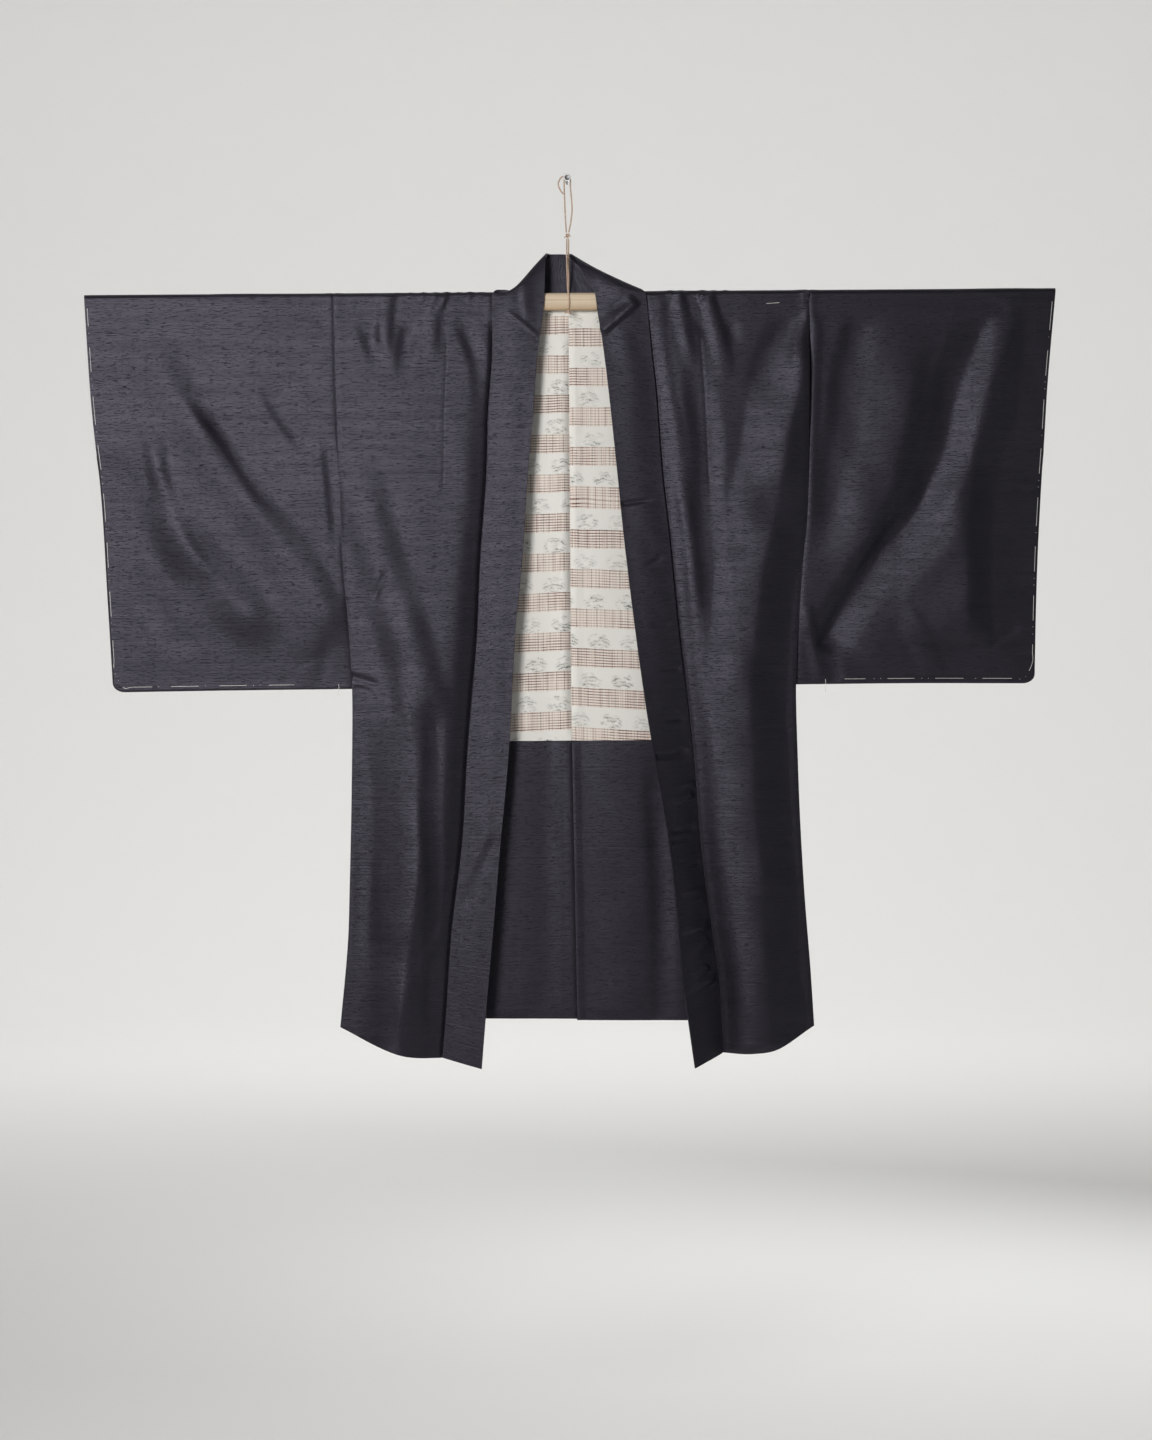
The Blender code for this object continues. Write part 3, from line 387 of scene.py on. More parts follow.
# Creases of the collar, in the same columns as the folds above.
COLLAR_FOLDS = (
    (0.9, 4, 2, 1, 0.1, 0.1, -82, -177, -62, -193, -39, -212),
    (1.2, 4, 12, 2, 0.3, 0.3, -62, -130, -60, -165, -52, -195),
    (-1.5, 10, 10, 2, 0.2, 0.2, -96, -871, -123, -927, -148, -984),
    (4.4, 17, 3, 1, 0.15, 0.1, 95, -166, 69, -188, 44, -209),
    (-1.2, 9, 6, 2, 0.35, 0.4, 86, -163, 70, -172, 52, -184),
    (-2.4, 3, 5, 0.6, 0.5, 0.05, 116, -430, 94, -433, 68, -437),
    (-0.9, 4, 6, 1, 0.3, 0.4, 123, -502, 114, -514, 94, -522),
    (-0.8, 4, 6, 1, 0.3, 0.4, 137, -596, 120, -598, 102, -599),
    (-2.2, 3, 5.5, 0.6, 0.2, 0.5, 149, -655, 134, -657, 115, -658),
    (-1.2, 4, 6, 1, 0.4, 0.4, 147, -712, 130, -716, 115, -720),
    (-2.6, 3, 5, 0.6, 0.3, 0.6, 156, -722, 136, -725, 114, -727),
    (-0.9, 4, 6, 1, 0.3, 0.4, 155, -732, 135, -737, 119, -741),
    (-3.4, 3.5, 10, 0.6, 0.3, 0.05, 160, -766, 143, -767, 132, -770, 111, -772),
    (3, 4.5, 3.5, 0.6, 0.03, 0.9, 164, -809, 149, -814, 138, -818),
    (3.8, 8, 4, 0.6, 0.03, 0.9, 162, -825, 145, -832, 126, -838),
    (-3.2, 4.5, 5.5, 0.6, 0.3, 0.35, 167, -866, 153, -871, 126, -876),
    (-2.2, 4, 6, 0.6, 0.3, 0.3, 162, -881, 141, -886, 127, -887),
    (-1.8, 3, 4, 0.6, 0.3, 0.6, 175, -913, 163, -918, 152, -921),
    (3.8, 4.5, 6, 0.6, 0.03, 0.9, 175, -952, 152, -956, 137, -961),
    (1.8, 4, 5, 1, 0.05, 0.9, 179, -962, 164, -966, 152, -970),
    (6, 11, 3, 0.6, 0.03, 0.9, 185, -1002, 161, -1006, 140, -1009),
    (2.4, 8, 10, 2, 0.05, 0.9, 182, -1017, 165, -1035, 149, -1052),
    (3.2, 6, 6, 1, 0.05, 0.9, 181, -1055, 162, -1068, 147, -1081),
    (5.8, 8.5, 4.5, 0.6, 0.03, 0.9, 195, -1069, 175, -1077, 158, -1086, 148, -1092),
    (1.8, 3, 4, 0.8, 0.05, 0.9, 197, -1079, 185, -1086, 178, -1091),
)

# Twine routes through given points.
TWINE = 0.0022
TWINE_STRANDS = {
    "twine_nail_loop": ((-0.0016, -0.0300, -0.0717), (-0.0026, -0.0300, -0.0560),
                        (-0.0036, -0.0300, -0.0320), (-0.0041, -0.0300, -0.0120),
                        (-0.0042, -0.0300, 0.0000), (-0.0030, -0.0300, 0.0030),
                        (0.0000, -0.0300, 0.0042), (0.0030, -0.0300, 0.0030),
                        (0.0042, -0.0300, 0.0000), (0.0043, -0.0300, -0.0120),
                        (0.0056, -0.0302, -0.0280), (0.0062, -0.0303, -0.0420),
                        (0.0044, -0.0301, -0.0580), (0.0016, -0.0300, -0.0717)),
    "twine_slack_turn": ((-0.0031, -0.0335, 0.0024), (-0.0075, -0.0345, 0.0016),
                         (-0.0112, -0.0345, -0.0040), (-0.0118, -0.0340, -0.0095),
                         (-0.0090, -0.0334, -0.0160), (-0.0056, -0.0326, -0.0206)),
    "twine_front_strand": ((-0.0013, -0.0305, -0.0804), (-0.0013, -0.0318, -0.1000),
                           (-0.0010, -0.0345, -0.1250), (-0.0004, -0.0378, -0.1460),
                           (0.0006, -0.0392, -0.1545), (0.0014, -0.0396, -0.1640),
                           (0.0010, -0.0395, -0.1715), (0.0002, -0.0389, -0.1748)),
    "twine_back_strand": ((0.0013, -0.0295, -0.0804), (0.0012, -0.0282, -0.1000),
                          (0.0010, -0.0256, -0.1250), (0.0007, -0.0220, -0.1460),
                          (0.0005, -0.0207, -0.1545), (0.0003, -0.0205, -0.1640),
                          (0.0002, -0.0203, -0.1730), (0.0001, -0.0228, -0.1777),
                          (0.0000, -0.0280, -0.1784), (0.0000, -0.0328, -0.1784)),
}
# Step of the points along a strand, and the length in which its plies turn once.
TWINE_STEP = 0.0006
TWINE_LAY = 0.0048
# Knots, and the points that their cut ends run through, from the knot's middle.
KNOT_TOP = (0.0, -0.0300, -0.0760)
KNOT_TOP_SIZE = (0.0031, 0.0031, 0.0040)
KNOT_TOP_TAILS = (((-0.0022, -0.0016, -0.0010), (-0.0046, -0.0024, -0.0034)),
                  ((0.0020, -0.0018, 0.0006), (0.0040, -0.0026, -0.0016)))
KNOT_FOOT = (0.0, -0.0372, -0.1786)
KNOT_FOOT_SIZE = (0.0028, 0.0025, 0.0025)
KNOT_FOOT_TAILS = (((-0.0018, -0.0012, -0.0010), (-0.0044, -0.0016, -0.0030)),
                   ((0.0014, -0.0016, -0.0014), (0.0026, -0.0022, -0.0046)))

# Nail: (radius, y) from the wall to the middle of its head, and the rim's (radius, y, thickness).
NAIL_PROFILE = ((0.0002, 0.0), (0.0022, 0.0), (0.0025, -0.0004), (0.0025, -0.0384),
                (0.0030, -0.0392), (0.0046, -0.0398), (0.0046, -0.0411), (0.0034, -0.0413),
                (0.0030, -0.0409), (0.0002, -0.0407))
NAIL_RIM = (0.0042, -0.0414, 0.0009)

# Storage creases pressed into the fronts: shares of the width and of a metre below the shoulder,
# the heights between which the upright ones show with the lengths that they fade over, and the
# shares between which the level ones show.
PRESS_DEPTH = 0.0005
PRESS_WIDTH = 0.0009
PRESS_COLUMNS = {"right": (0.695,), "left": (0.670,)}
PRESS_ROWS = {"right": (0.215, 0.2365), "left": (0.262,)}
PRESS_SPAN = (-0.205, -0.435)
PRESS_FADE = (0.02, 0.04)
PRESS_ROW_SPAN = (0.10, 0.85)
PRESS_ROW_FADE = 0.1

# Lining: tucks in the fold columns, slope of its bands away from the centre seam for each metre
# below SAG_FROM, its lip beside that seam with the lip's place and reach, the reach in which it
# dips into the seam, the step of its bands below SLIP_FROM, how loosely it hangs, and the height
# of a check band's top edge.
LINING_TUCKS = (
    (2.2, 3, 6, 1, 0.1, 0.3, 1, -428, 45, -431, 90, -437),
    (1.6, 4, 4, 2, 0.1, 0.4, 22, -245, 23, -270, 24, -310),
    (4, 10, 9, 1, 0.1, 0.1, -13, -250, -13, -500, -12, -745),
)
LINING_SAG = {"right": 0.10, "left": 0.14}
SAG_FROM = -0.25
LINING_LIP = {"right": 0.0030, "left": 0.0018}
LIP_PLACE, LIP_REACH = 0.007, 0.006
LINING_DIP = {"right": 0.0030, "left": 0.0050}
LINING_SLIP = {"right": 0.0, "left": 0.0045}
SLIP_FROM = -0.428
LINING_LOOSE = 0.0008
CHECK_TOP = {"right": -0.2871, "left": -0.2510}
# Roll of the hem facing beside the centre seam: (rise, place, reach).
FACING_ROLL = (0.0010, 0.004, 0.003)

# Basting: x where the foot's stitches stop, where along a repeat each cuff starts, x of the loose
# end at the foot, and the stray stitch on the left shoulder from (x, z) to (x, z).
BASTING_STOP = {"right": -0.3620, "left": 0.3580}
BASTING_PHASE = {"right": 0.0140, "left": 0.0}
LOOSE_END_X = {"right": -0.311, "left": 0.341}
STRAY_STITCH = ((0.2650, -0.1700), (0.2820, -0.1690))


# ---------------------------------------------------------------------------------------------
# Shapes
# ---------------------------------------------------------------------------------------------
def smooth(t):
    """Ease from 0 to 1, flat at both ends."""
    t = np.clip(t, 0.0, 1.0)
    return t * t * (3 - 2 * t)


def mix(a, b, t):
    return a + (b - a) * t


def bell(distance, width):
    """1 at no distance, falling away over the width."""
    return np.exp(-(distance / width) ** 2)


def read(table, keys):
    """Values of a two-column table at the keys, on a smooth curve through its rows."""
    rows = np.array(table, float)
    rows = rows[np.argsort(rows[:, 0], kind="stable")]
    key, value = rows[:, 0], rows[:, 1]
    spans = np.diff(value) / np.diff(key)
    slopes = np.concatenate(([spans[0]], (spans[:-1] + spans[1:]) / 2, [spans[-1]]))
    keys = np.clip(keys, key[0], key[-1])
    at = np.clip(np.searchsorted(key, keys, side="right") - 1, 0, len(key) - 2)
    width = key[at + 1] - key[at]
    t = (keys - key[at]) / width
    start = value[at] * (1 + 2 * t) * (1 - t) ** 2 + slopes[at] * width * t * (1 - t) ** 2
    return start + value[at + 1] * t * t * (3 - 2 * t) - slopes[at + 1] * width * t * t * (1 - t)


def travelled(path):
    """Length along a path up to each of its points."""
    steps = np.linalg.norm(np.diff(path, axis=0), axis=1)
    return np.concatenate(([0.0], np.cumsum(steps)))


def through(points, step):
    """Points about a step apart on a smooth curve through the given ones."""
    points = np.array(points, float)
    ends = np.vstack([points[0] * 2 - points[1], points, points[-1] * 2 - points[-2]])
    dense = []
    for a, b, c, d in zip(ends, ends[1:], ends[2:], ends[3:]):
        for t in np.linspace(0.0, 1.0, 24, endpoint=False):
            dense.append(0.5 * (2 * b + (c - a) * t + (2 * a - 5 * b + 4 * c - d) * t * t
                                + (3 * b - a - 3 * c + d) * t ** 3))
    dense = np.array(dense + [points[-1]])
    run = travelled(dense)
    count = max(2, round(run[-1] / step))
    wanted = np.linspace(0.0, run[-1], count + 1)
    return np.stack([np.interp(wanted, run, dense[:, k]) for k in range(dense.shape[1])], axis=1)


def spread(length, cell, fine=(0.0007, 0.0020, 0.0045), marks=()):
    """Shares of a length: cells of one size, finer at both ends and beside each mark."""
    count = max(2, round((length - 2 * fine[-1]) / cell))
    middle = np.linspace(fine[-1], length - fine[-1], count + 1)
    marked = [m * length + d for m in marks for d in (-0.0021, -0.0007, 0.0007, 0.0021)]
    far = [m for m in middle if all(abs(m - k) > 0.0012 for k in marked)]
    ends = [0.0, *fine[:-1]]
    stops = sorted([*ends, *far, *marked, *[length - e for e in ends]])
    return np.array(stops) / length


def nearest_on(line, x, z):
    """Distance of each point to a line, side of the line (1 is its right) and share along it."""
    best = np.full(x.shape, 1e9)
    across = np.zeros(x.shape)
    along = np.zeros(x.shape)
    for k, (a, b) in enumerate(zip(line, line[1:])):
        d = b - a
        t = np.clip(((x - a[0]) * d[0] + (z - a[1]) * d[1]) / (d @ d), 0.0, 1.0)
        gap = np.hypot(x - a[0] - t * d[0], z - a[1] - t * d[1])
        closer = gap < best
        best = np.where(closer, gap, best)
        turn = d[0] * (z - a[1]) - d[1] * (x - a[0])
        across = np.where(closer, np.sign(turn), across)
        along = np.where(closer, (k + t) / (len(line) - 1), along)
    return best, across, along


def fold_rise(folds, x, z):
    """Sum of the folds at each point: soft-crowned ridges and troughs with uneven flanks."""
    total = np.zeros(np.shape(x))
    drift = FOLD_DRIFT[0] * unevenness(x + 0.2 * z, z, *FOLD_DRIFT[1:])
    strength = 1.0 + FOLD_STRENGTH[0] * unevenness(x, z, *FOLD_STRENGTH[1:])
    for fold in folds:
        rise, left, right, crown = np.array(fold[:4]) / 1000
        fade_in, fade_out, *path = fold[4:]
        broad = max(left, right) > BROAD_FOLD
        line = through(np.reshape(path, (-1, 2)) / 1000, FOLD_STEP)
        reach = max(left, right) + crown
        low, high = line.min(axis=0) - reach, line.max(axis=0) + reach
        near = (x > low[0]) & (x < high[0]) & (z > low[1]) & (z < high[1])
        if not near.any():
            continue
        best, across, along = nearest_on(line, x[near] + (drift[near] if broad else 0.0), z[near])
        flank = np.where(across > 0, right, left)
        t = np.clip(1 - (np.hypot(best, crown) - crown) / flank, 0.0, 1.0)
        envelope = smooth(along / fade_in) * smooth((1 - along) / fade_out)
        flanks = mix(smooth(t), t, CREASE_PLANE if crown < CREASE_CROWN else 0.0)
        total[near] += rise * envelope * flanks * (strength[near] if broad else 1.0)
    return total


def unevenness(x, z, wide, tall, seed):
    """Smooth random swell between -1 and 1, about wide by tall from rise to fall."""
    size = 64
    lattice = np.random.default_rng(seed).uniform(-1, 1, (size, size))
    u, v = np.asarray(x) / wide, np.asarray(z) / tall
    i, j = np.floor(u).astype(int), np.floor(v).astype(int)
    s, t = smooth(u - i), smooth(v - j)
    low, high = (mix(lattice[i % size, k % size], lattice[(i + 1) % size, k % size], s)
                 for k in (j, j + 1))
    return mix(low, high, t)


def swell(x, z, seed):
    """Slight unevenness of hanging silk: broad drifts with smaller ones on them."""
    broad = unevenness(x, z, *BROAD_SWELL[1:], seed)
    small = unevenness(x + 0.31 * z, z, *SMALL_SWELL[1:], seed + 1)
    return BROAD_SWELL[0] * broad + SMALL_SWELL[0] * small


def below_opening(z, reach):
    """0 along the cuff's opening, 1 where its edges are sewn together below it."""
    above, over = reach
    return smooth((CUFF_FOOT + above - z) / over)


def below_slat(z):
    """0 where the cloth lies flat on the slat, 1 once it hangs free below it."""
    return smooth((UNDER_SLAT - z) / FREE_REACH)


def hung(rise, z):
    """Folds and swells as the slat lets them be: ridges stand off it, troughs start below it."""
    return np.maximum(rise, 0.0) + np.minimum(rise, 0.0) * below_slat(z)


def seam_groove(distance, z, depth):
    """Dip where two pieces are sewn edge to edge; on the slat it shows between raised lips."""
    notch = bell(distance, SEAM_NOTCH_REACH)
    lips = (bell(distance, SEAM_LIP_REACH) - notch) * (1 - below_slat(z))
    return depth * notch * below_slat(z) - SEAM_LIP * lips


def over_slat():
    """Section of the cloth over the slat, front to back: (share, y, z, outward y, outward z)."""
    points = []
    for turn in np.linspace(0.0, math.pi / 2, SLAT_STEPS + 1):
        points.append((FRONT_Y + FRONT_ROUND * (1 - math.cos(turn)),
                       FRONT_TOP + FRONT_ROUND * math.sin(turn), -math.cos(turn), math.sin(turn)))
    for turn in np.linspace(0.0, math.pi / 2, SLAT_STEPS + 1):
        points.append((BACK_Y - BACK_ROUND * (1 - math.sin(turn)),
                       NECK_Z + BACK_ROUND * math.cos(turn), math.sin(turn), math.cos(turn)))
    return [(k / (len(points) - 1), *point) for k, point in enumerate(points)]


def laid_over(side, x_at, rise_at):
    """Rows of cloth over the slat: the front's ridges and seam lips ease out towards the back."""
    rows = []
    for share, y, z, out_y, out_z in over_slat()[1:-1]:
        x = x_at(share, z)
        here = np.full(x.shape, z)
        lips = -seam_groove(x - read(SIDE_EDGE[side], z), here, 0.0)
        lift = (rise_at(x, here) + lips) * (1 - smooth(share))
        rows.append(np.stack([x, y + out_y * lift, z + out_z * lift], axis=-1))
    return np.stack(rows, axis=1)


def body_rise(side, x, z):
    """Folds and swells of a front panel."""
    return fold_rise(BODY_FOLDS[side], x, z) + swell(x, z, BODY_SEED[side])


def collar_trough(side, x, z):
    """Share in which a front follows the collar's seam instead of its own belly."""
    return bell(x - read(COLLAR_SEAM[side], z), SEAM_TROUGH_WIDTH)


def front_depth(side, x, z, u):
    """Depth of a front panel: u is 0 at its side and 1 at the collar seam."""
    belly = mix(read(SIDE_DEPTH, z), read(BELLY_DEPTH, z), smooth(u / BELLY_FULL))
    trough = collar_trough(side, x, z)
    dip = seam_groove(np.abs(x - read(SIDE_EDGE[side], z)), z, SIDE_GROOVE)
    dip = dip + seam_groove(x - read(COLLAR_SEAM[side], z), z, COLLAR_GROOVE[side])
    rise = hung(body_rise(side, x, z), z) * (1 - trough)
    return mix(belly, read(SEAM_DEPTH[side], z), trough) - rise + dip


def back_rise(x, z):
    """Rise of the back towards the front, its folds and swells together."""
    return fold_rise(BACK_FOLDS, x, z) + swell(x, z, BACK_SEED)


def back_depth(x, z):
    return read(BACK_DEPTH, z) - back_rise(x, z) * below_slat(z)


def sleeve_rise(side, x, z):
    """Folds and swells of a sleeve's front."""
    return fold_rise(SLEEVE_FOLDS[side], x, z) + swell(x, z, SLEEVE_SEED[side])


def sleeve_back_rise(side, x, z):
    """Folds of a sleeve's back: the other sleeve's folds, turned over and made shallower."""
    rise = fold_rise(SLEEVE_FOLDS[OTHER[side]], -x, z) * BACK_FOLD_SHARE
    return rise + swell(x, z, SLEEVE_BACK_SEED)


def foot_ends(side):
    """X of the sleeve's foot at the body's side and at the cuff."""
    return SIDE_EDGE[side][6][1], CUFF_EDGE[side][-1][1]


def sleeve_share(side, x, z):
    """Share of the way from the armhole to the cuff."""
    armhole = read(SIDE_EDGE[side], z)
    return np.clip((x - armhole) / (read(CUFF_EDGE[side], z) - armhole), 0.0, 1.0)


def foot_share(side, x):
    """Share of the way from the armhole to the cuff along a sleeve's foot."""
    start, end = foot_ends(side)
    return np.clip((x - start) / (end - start), 0.0, 1.0)


def sleeve_foot(side, u):
    """Height of a sleeve's foot, with its small rounded corner at the cuff."""
    start, end = foot_ends(side)
    width = abs(end - start)
    inside = np.clip(SLEEVE_CORNER - (1 - u) * width, 0.0, SLEEVE_CORNER)
    rise = SLEEVE_CORNER - np.sqrt(SLEEVE_CORNER ** 2 - inside ** 2)
    return read(SLEEVE_FOOT[side], u) + rise * SLEEVE_CORNER_SHARE


def sleeve_depths(side, x, z, foot):
    """Front and back depth of a sleeve, which closes towards its foot and its sewn cuff."""
    armhole = np.abs(x - read(SIDE_EDGE[side], z))
    front = read(SIDE_DEPTH, z) - hung(sleeve_rise(side, x, z), z)
    front = front + seam_groove(armhole, z, SIDE_GROOVE)
    own = smooth(armhole / FREE_REACH)
    behind = mix(-back_rise(x, z), sleeve_back_rise(side, x, z), own)
    back = read(BACK_DEPTH, z) + behind * below_slat(z)
    to_cuff = np.abs(read(CUFF_EDGE[side], z) - x)
    sewn = below_opening(z, CUFF_CLOSING)
    meet = mix(front, back, BAG_MEET)
    sides = []
    for face, reach, turn in ((front, BAG_CLOSE * 2, -1), (back, BAG_CLOSE, 1)):
        near_cuff = 1 - smooth(to_cuff / reach)
        near_foot = 1 - smooth((z - foot) / reach)
        closed = np.maximum(near_foot, near_cuff * sewn)
        sides.append(mix(face, meet + turn * BAG_EDGE / 2, closed))
    middle = (sides[0] + sides[1]) / 2
    half = (sides[1] - sides[0]) / 2
    tip = np.sqrt(np.clip(1 - (1 - to_cuff / (BAG_EDGE / 2)) ** 2, 0.0, 1.0))
    tip = np.where(to_cuff >= BAG_EDGE / 2, 1.0, tip)
    half = half * mix(1.0, tip, below_opening(z, CUFF_ROUNDING))
    return middle - half, middle + half


# ---------------------------------------------------------------------------------------------
# Mesh tools
# ---------------------------------------------------------------------------------------------
def link_piece(name, mesh):
    """Object at the origin for the mesh, in the place of any earlier one of that name."""
    old = bpy.data.objects.get(name)
    if old is not None:
        bpy.data.objects.remove(old, do_unlink=True)
    piece = bpy.data.objects.new(name, mesh)
    bpy.context.scene.collection.objects.link(piece)
    return piece


def new_piece(name, points, faces, cut=None):
    """Mesh object shaded smooth, with its cut as a UV map in metres."""
    mesh = bpy.data.meshes.new(name)
    mesh.from_pydata(np.asarray(points, float).tolist(), [], faces)
    if cut is not None:
        corners = np.empty(len(mesh.loops), dtype=np.int32)
        mesh.loops.foreach_get("vertex_index", corners)
        layer = mesh.uv_layers.new(name="cut")
        layer.data.foreach_set("uv", np.asarray(cut, float)[corners].ravel())
    mesh.shade_smooth()
    return link_piece(name, mesh)


def tidy_normals(piece, merge=0.0):
    """Merges doubles and turns the faces the same way round."""
    shape = bmesh.new()
    shape.from_mesh(piece.data)
    if merge:
        bmesh.ops.remove_doubles(shape, verts=shape.verts, dist=merge)
    bmesh.ops.recalc_face_normals(shape, faces=shape.faces)
    shape.to_mesh(piece.data)
    shape.free()
    piece.data.shade_smooth()


def settle(piece):
    """Turns what the modifiers make into the piece's own plain mesh."""
    graph = bpy.context.evaluated_depsgraph_get()
    mesh = bpy.data.meshes.new_from_object(piece.evaluated_get(graph))
    piece.modifiers.clear()
    old = piece.data
    piece.data = mesh
    mesh.name = piece.name
    if old.users == 0:
        bpy.data.meshes.remove(old)


def cloth_piece(name, grid, cut, thickness=CLOTH, edge_round=EDGE_ROUND, used=None, ring=False,
                merge=0.0):
    """Cloth from an array of points, with its thickness on both sides and its edges rolled.

    used marks the cells that are there, and ring joins the last row to the first.
    """
    columns, rows = grid.shape[:2]
    index = np.arange(columns * rows).reshape(columns, rows)
    after = np.roll(index, -1, axis=1) if ring else index[:, 1:]
    before = index if ring else index[:, :-1]
    cells = np.stack([before[:-1], before[1:], after[1:], after[:-1]], axis=-1)
    if used is not None:
        cells = cells[used]
    cells = cells.reshape(-1, 4)
    kept = np.unique(cells)
    place = np.full(columns * rows, -1)
    place[kept] = np.arange(len(kept))
    piece = new_piece(name, grid.reshape(-1, 3)[kept], place[cells].tolist(),
                      cut.reshape(-1, 2)[kept])
    tidy_normals(piece, merge)
    wall = piece.modifiers.new("wall", "SOLIDIFY")
    wall.thickness = thickness
    wall.offset = 0.0
    wall.use_even_offset = True
    wall.use_quality_normals = True
    roll = piece.modifiers.new("roll", "BEVEL")
    roll.width = thickness * edge_round
    roll.segments = 2
    roll.limit_method = "ANGLE"
    roll.angle_limit = math.radians(60)
    settle(piece)
    return piece


def joined(name, pieces):
    """One piece made of several."""
    shape = bmesh.new()
    for piece in pieces:
        shape.from_mesh(piece.data)
        bpy.data.objects.remove(piece, do_unlink=True)
    mesh = bpy.data.meshes.new(name)
    shape.to_mesh(mesh)
    shape.free()
    mesh.shade_smooth()
    return link_piece(name, mesh)


def dress(piece, finish, slot, *nodes):
    """Finish, body and the frame nodes that the piece stands for; the slot is not used."""
    piece.data.materials.clear()
    piece.data.materials.append(bpy.data.materials[finish])
    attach(piece, BODY)
    if nodes:
        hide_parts(*nodes)
    return piece


# ---------------------------------------------------------------------------------------------
# Node trees
# ---------------------------------------------------------------------------------------------
class Value:
    """Output socket of a tree, on which arithmetic makes Math nodes."""

    def __init__(self, nodes, socket):
        self.nodes, self.socket = nodes, socket

    def math(self, operation, other=0.0, last=0.0):
        return self.nodes.math(operation, self, other, last)

    def __add__(self, other):
        return self.math("ADD", other)

    def __sub__(self, other):
        return self.math("SUBTRACT", other)

    def __rsub__(self, other):
        return self.nodes.math("SUBTRACT", other, self, 0.0)

    def __mul__(self, other):
        return self.math("MULTIPLY", other)

    def window(self, low, high, first=0.0, last=1.0):
        """Smooth step from the first value at low to the last at high."""
        values = {"Value": self, "From Min": low, "From Max": high, "To Min": first,
                  "To Max": last}
        return self.nodes.out("ShaderNodeMapRange", 0, values, interpolation_type="SMOOTHSTEP")


class Nodes:
    """Node tree in the making, with short names for what it needs."""

    def __init__(self, tree):
        self.tree = tree

    def put(self, socket, value):
        if isinstance(value, Value):
            self.tree.links.new(value.socket, socket)
        else:
            socket.default_value = value

    def node(self, kind, values, **settings):
        """Node with its settings, then the values of its inputs."""
        node = self.tree.nodes.new(kind)
        for key, value in settings.items():
            setattr(node, key, value)
        for key, value in values.items():
            self.put(node.inputs[key], value)
        return node

    def out(self, kind, key, values, **settings):
        """One output of a new node."""
        return Value(self, self.node(kind, values, **settings).outputs[key])

    def math(self, operation, a, b, c):
        return self.out("ShaderNodeMath", 0, {0: a, 1: b, 2: c}, operation=operation)


class Finish(Nodes):
    """Node material in the making."""

    def __init__(self, name):
        old = bpy.data.materials.get(name)
        if old is not None:
            bpy.data.materials.remove(old)
        material = bpy.data.materials.new(name)
        material.use_nodes = True
        super().__init__(material.node_tree)

    def cut(self):
        return self.out("ShaderNodeUVMap", "UV", {}, uv_map="cut")

    def place(self):
        return self.out("ShaderNodeTexCoord", "Object", {})

    def parts(self, vector):
        """X, y and z of a vector."""
        node = self.node("ShaderNodeSeparateXYZ", {"Vector": vector})
        return [Value(self, part) for part in node.outputs]

    def noise(self, vector, stretch=None, shift=(0.0, 0.0, 0.0), scale=1.0, detail=2.0):
        """Noise on a vector, stretched and shifted first where that is asked for."""
        if stretch:
            values = {"Vector": vector, "Scale": stretch, "Location": shift}
            vector = self.out("ShaderNodeMapping", 0, values)
        values = {"Vector": vector, "Scale": scale, "Detail": detail}
        return self.out("ShaderNodeTexNoise", "Fac", values)

    def chance(self, value):
        """Random share for each whole value."""
        return self.out("ShaderNodeTexWhiteNoise", "Value", {"W": value}, noise_dimensions="1D")

    def to_line(self, value):
        """Distance to the nearest of unevenly spaced lines."""
        return self.out("ShaderNodeTexVoronoi", "Distance", {"W": value, "Scale": 1.0},
                        voronoi_dimensions="1D", feature="DISTANCE_TO_EDGE")

    def layers(self, colour, *layers):
        """Colour with the colour of each (share, colour) laid over it in turn."""
        for share, over in layers:
            node = self.node("ShaderNodeMix", {"Factor": share}, data_type="RGBA")
            below, above = (s for s in node.inputs if s.type == "RGBA")
            self.put(below, colour)
            self.put(above, over)
            colour = Value(self, next(s for s in node.outputs if s.type == "RGBA"))
        return colour

    def bump(self, height, distance, strength):
        values = {"Height": height, "Distance": distance, "Strength": strength}
        return self.out("ShaderNodeBump", 0, values)

    def finish(self, colour, roughness, **values):
        """Gives the shader its colour, roughness and other values."""
        shader = self.tree.nodes["Principled BSDF"]
        for key, value in {"Base_Color": colour, "Roughness": roughness, **values}.items():
            self.put(shader.inputs[key.replace("_", " ")], value)


def shade(colour, factor=1.0):
    return tuple(min(c * factor, 1.0) for c in colour[:3]) + (1.0,)


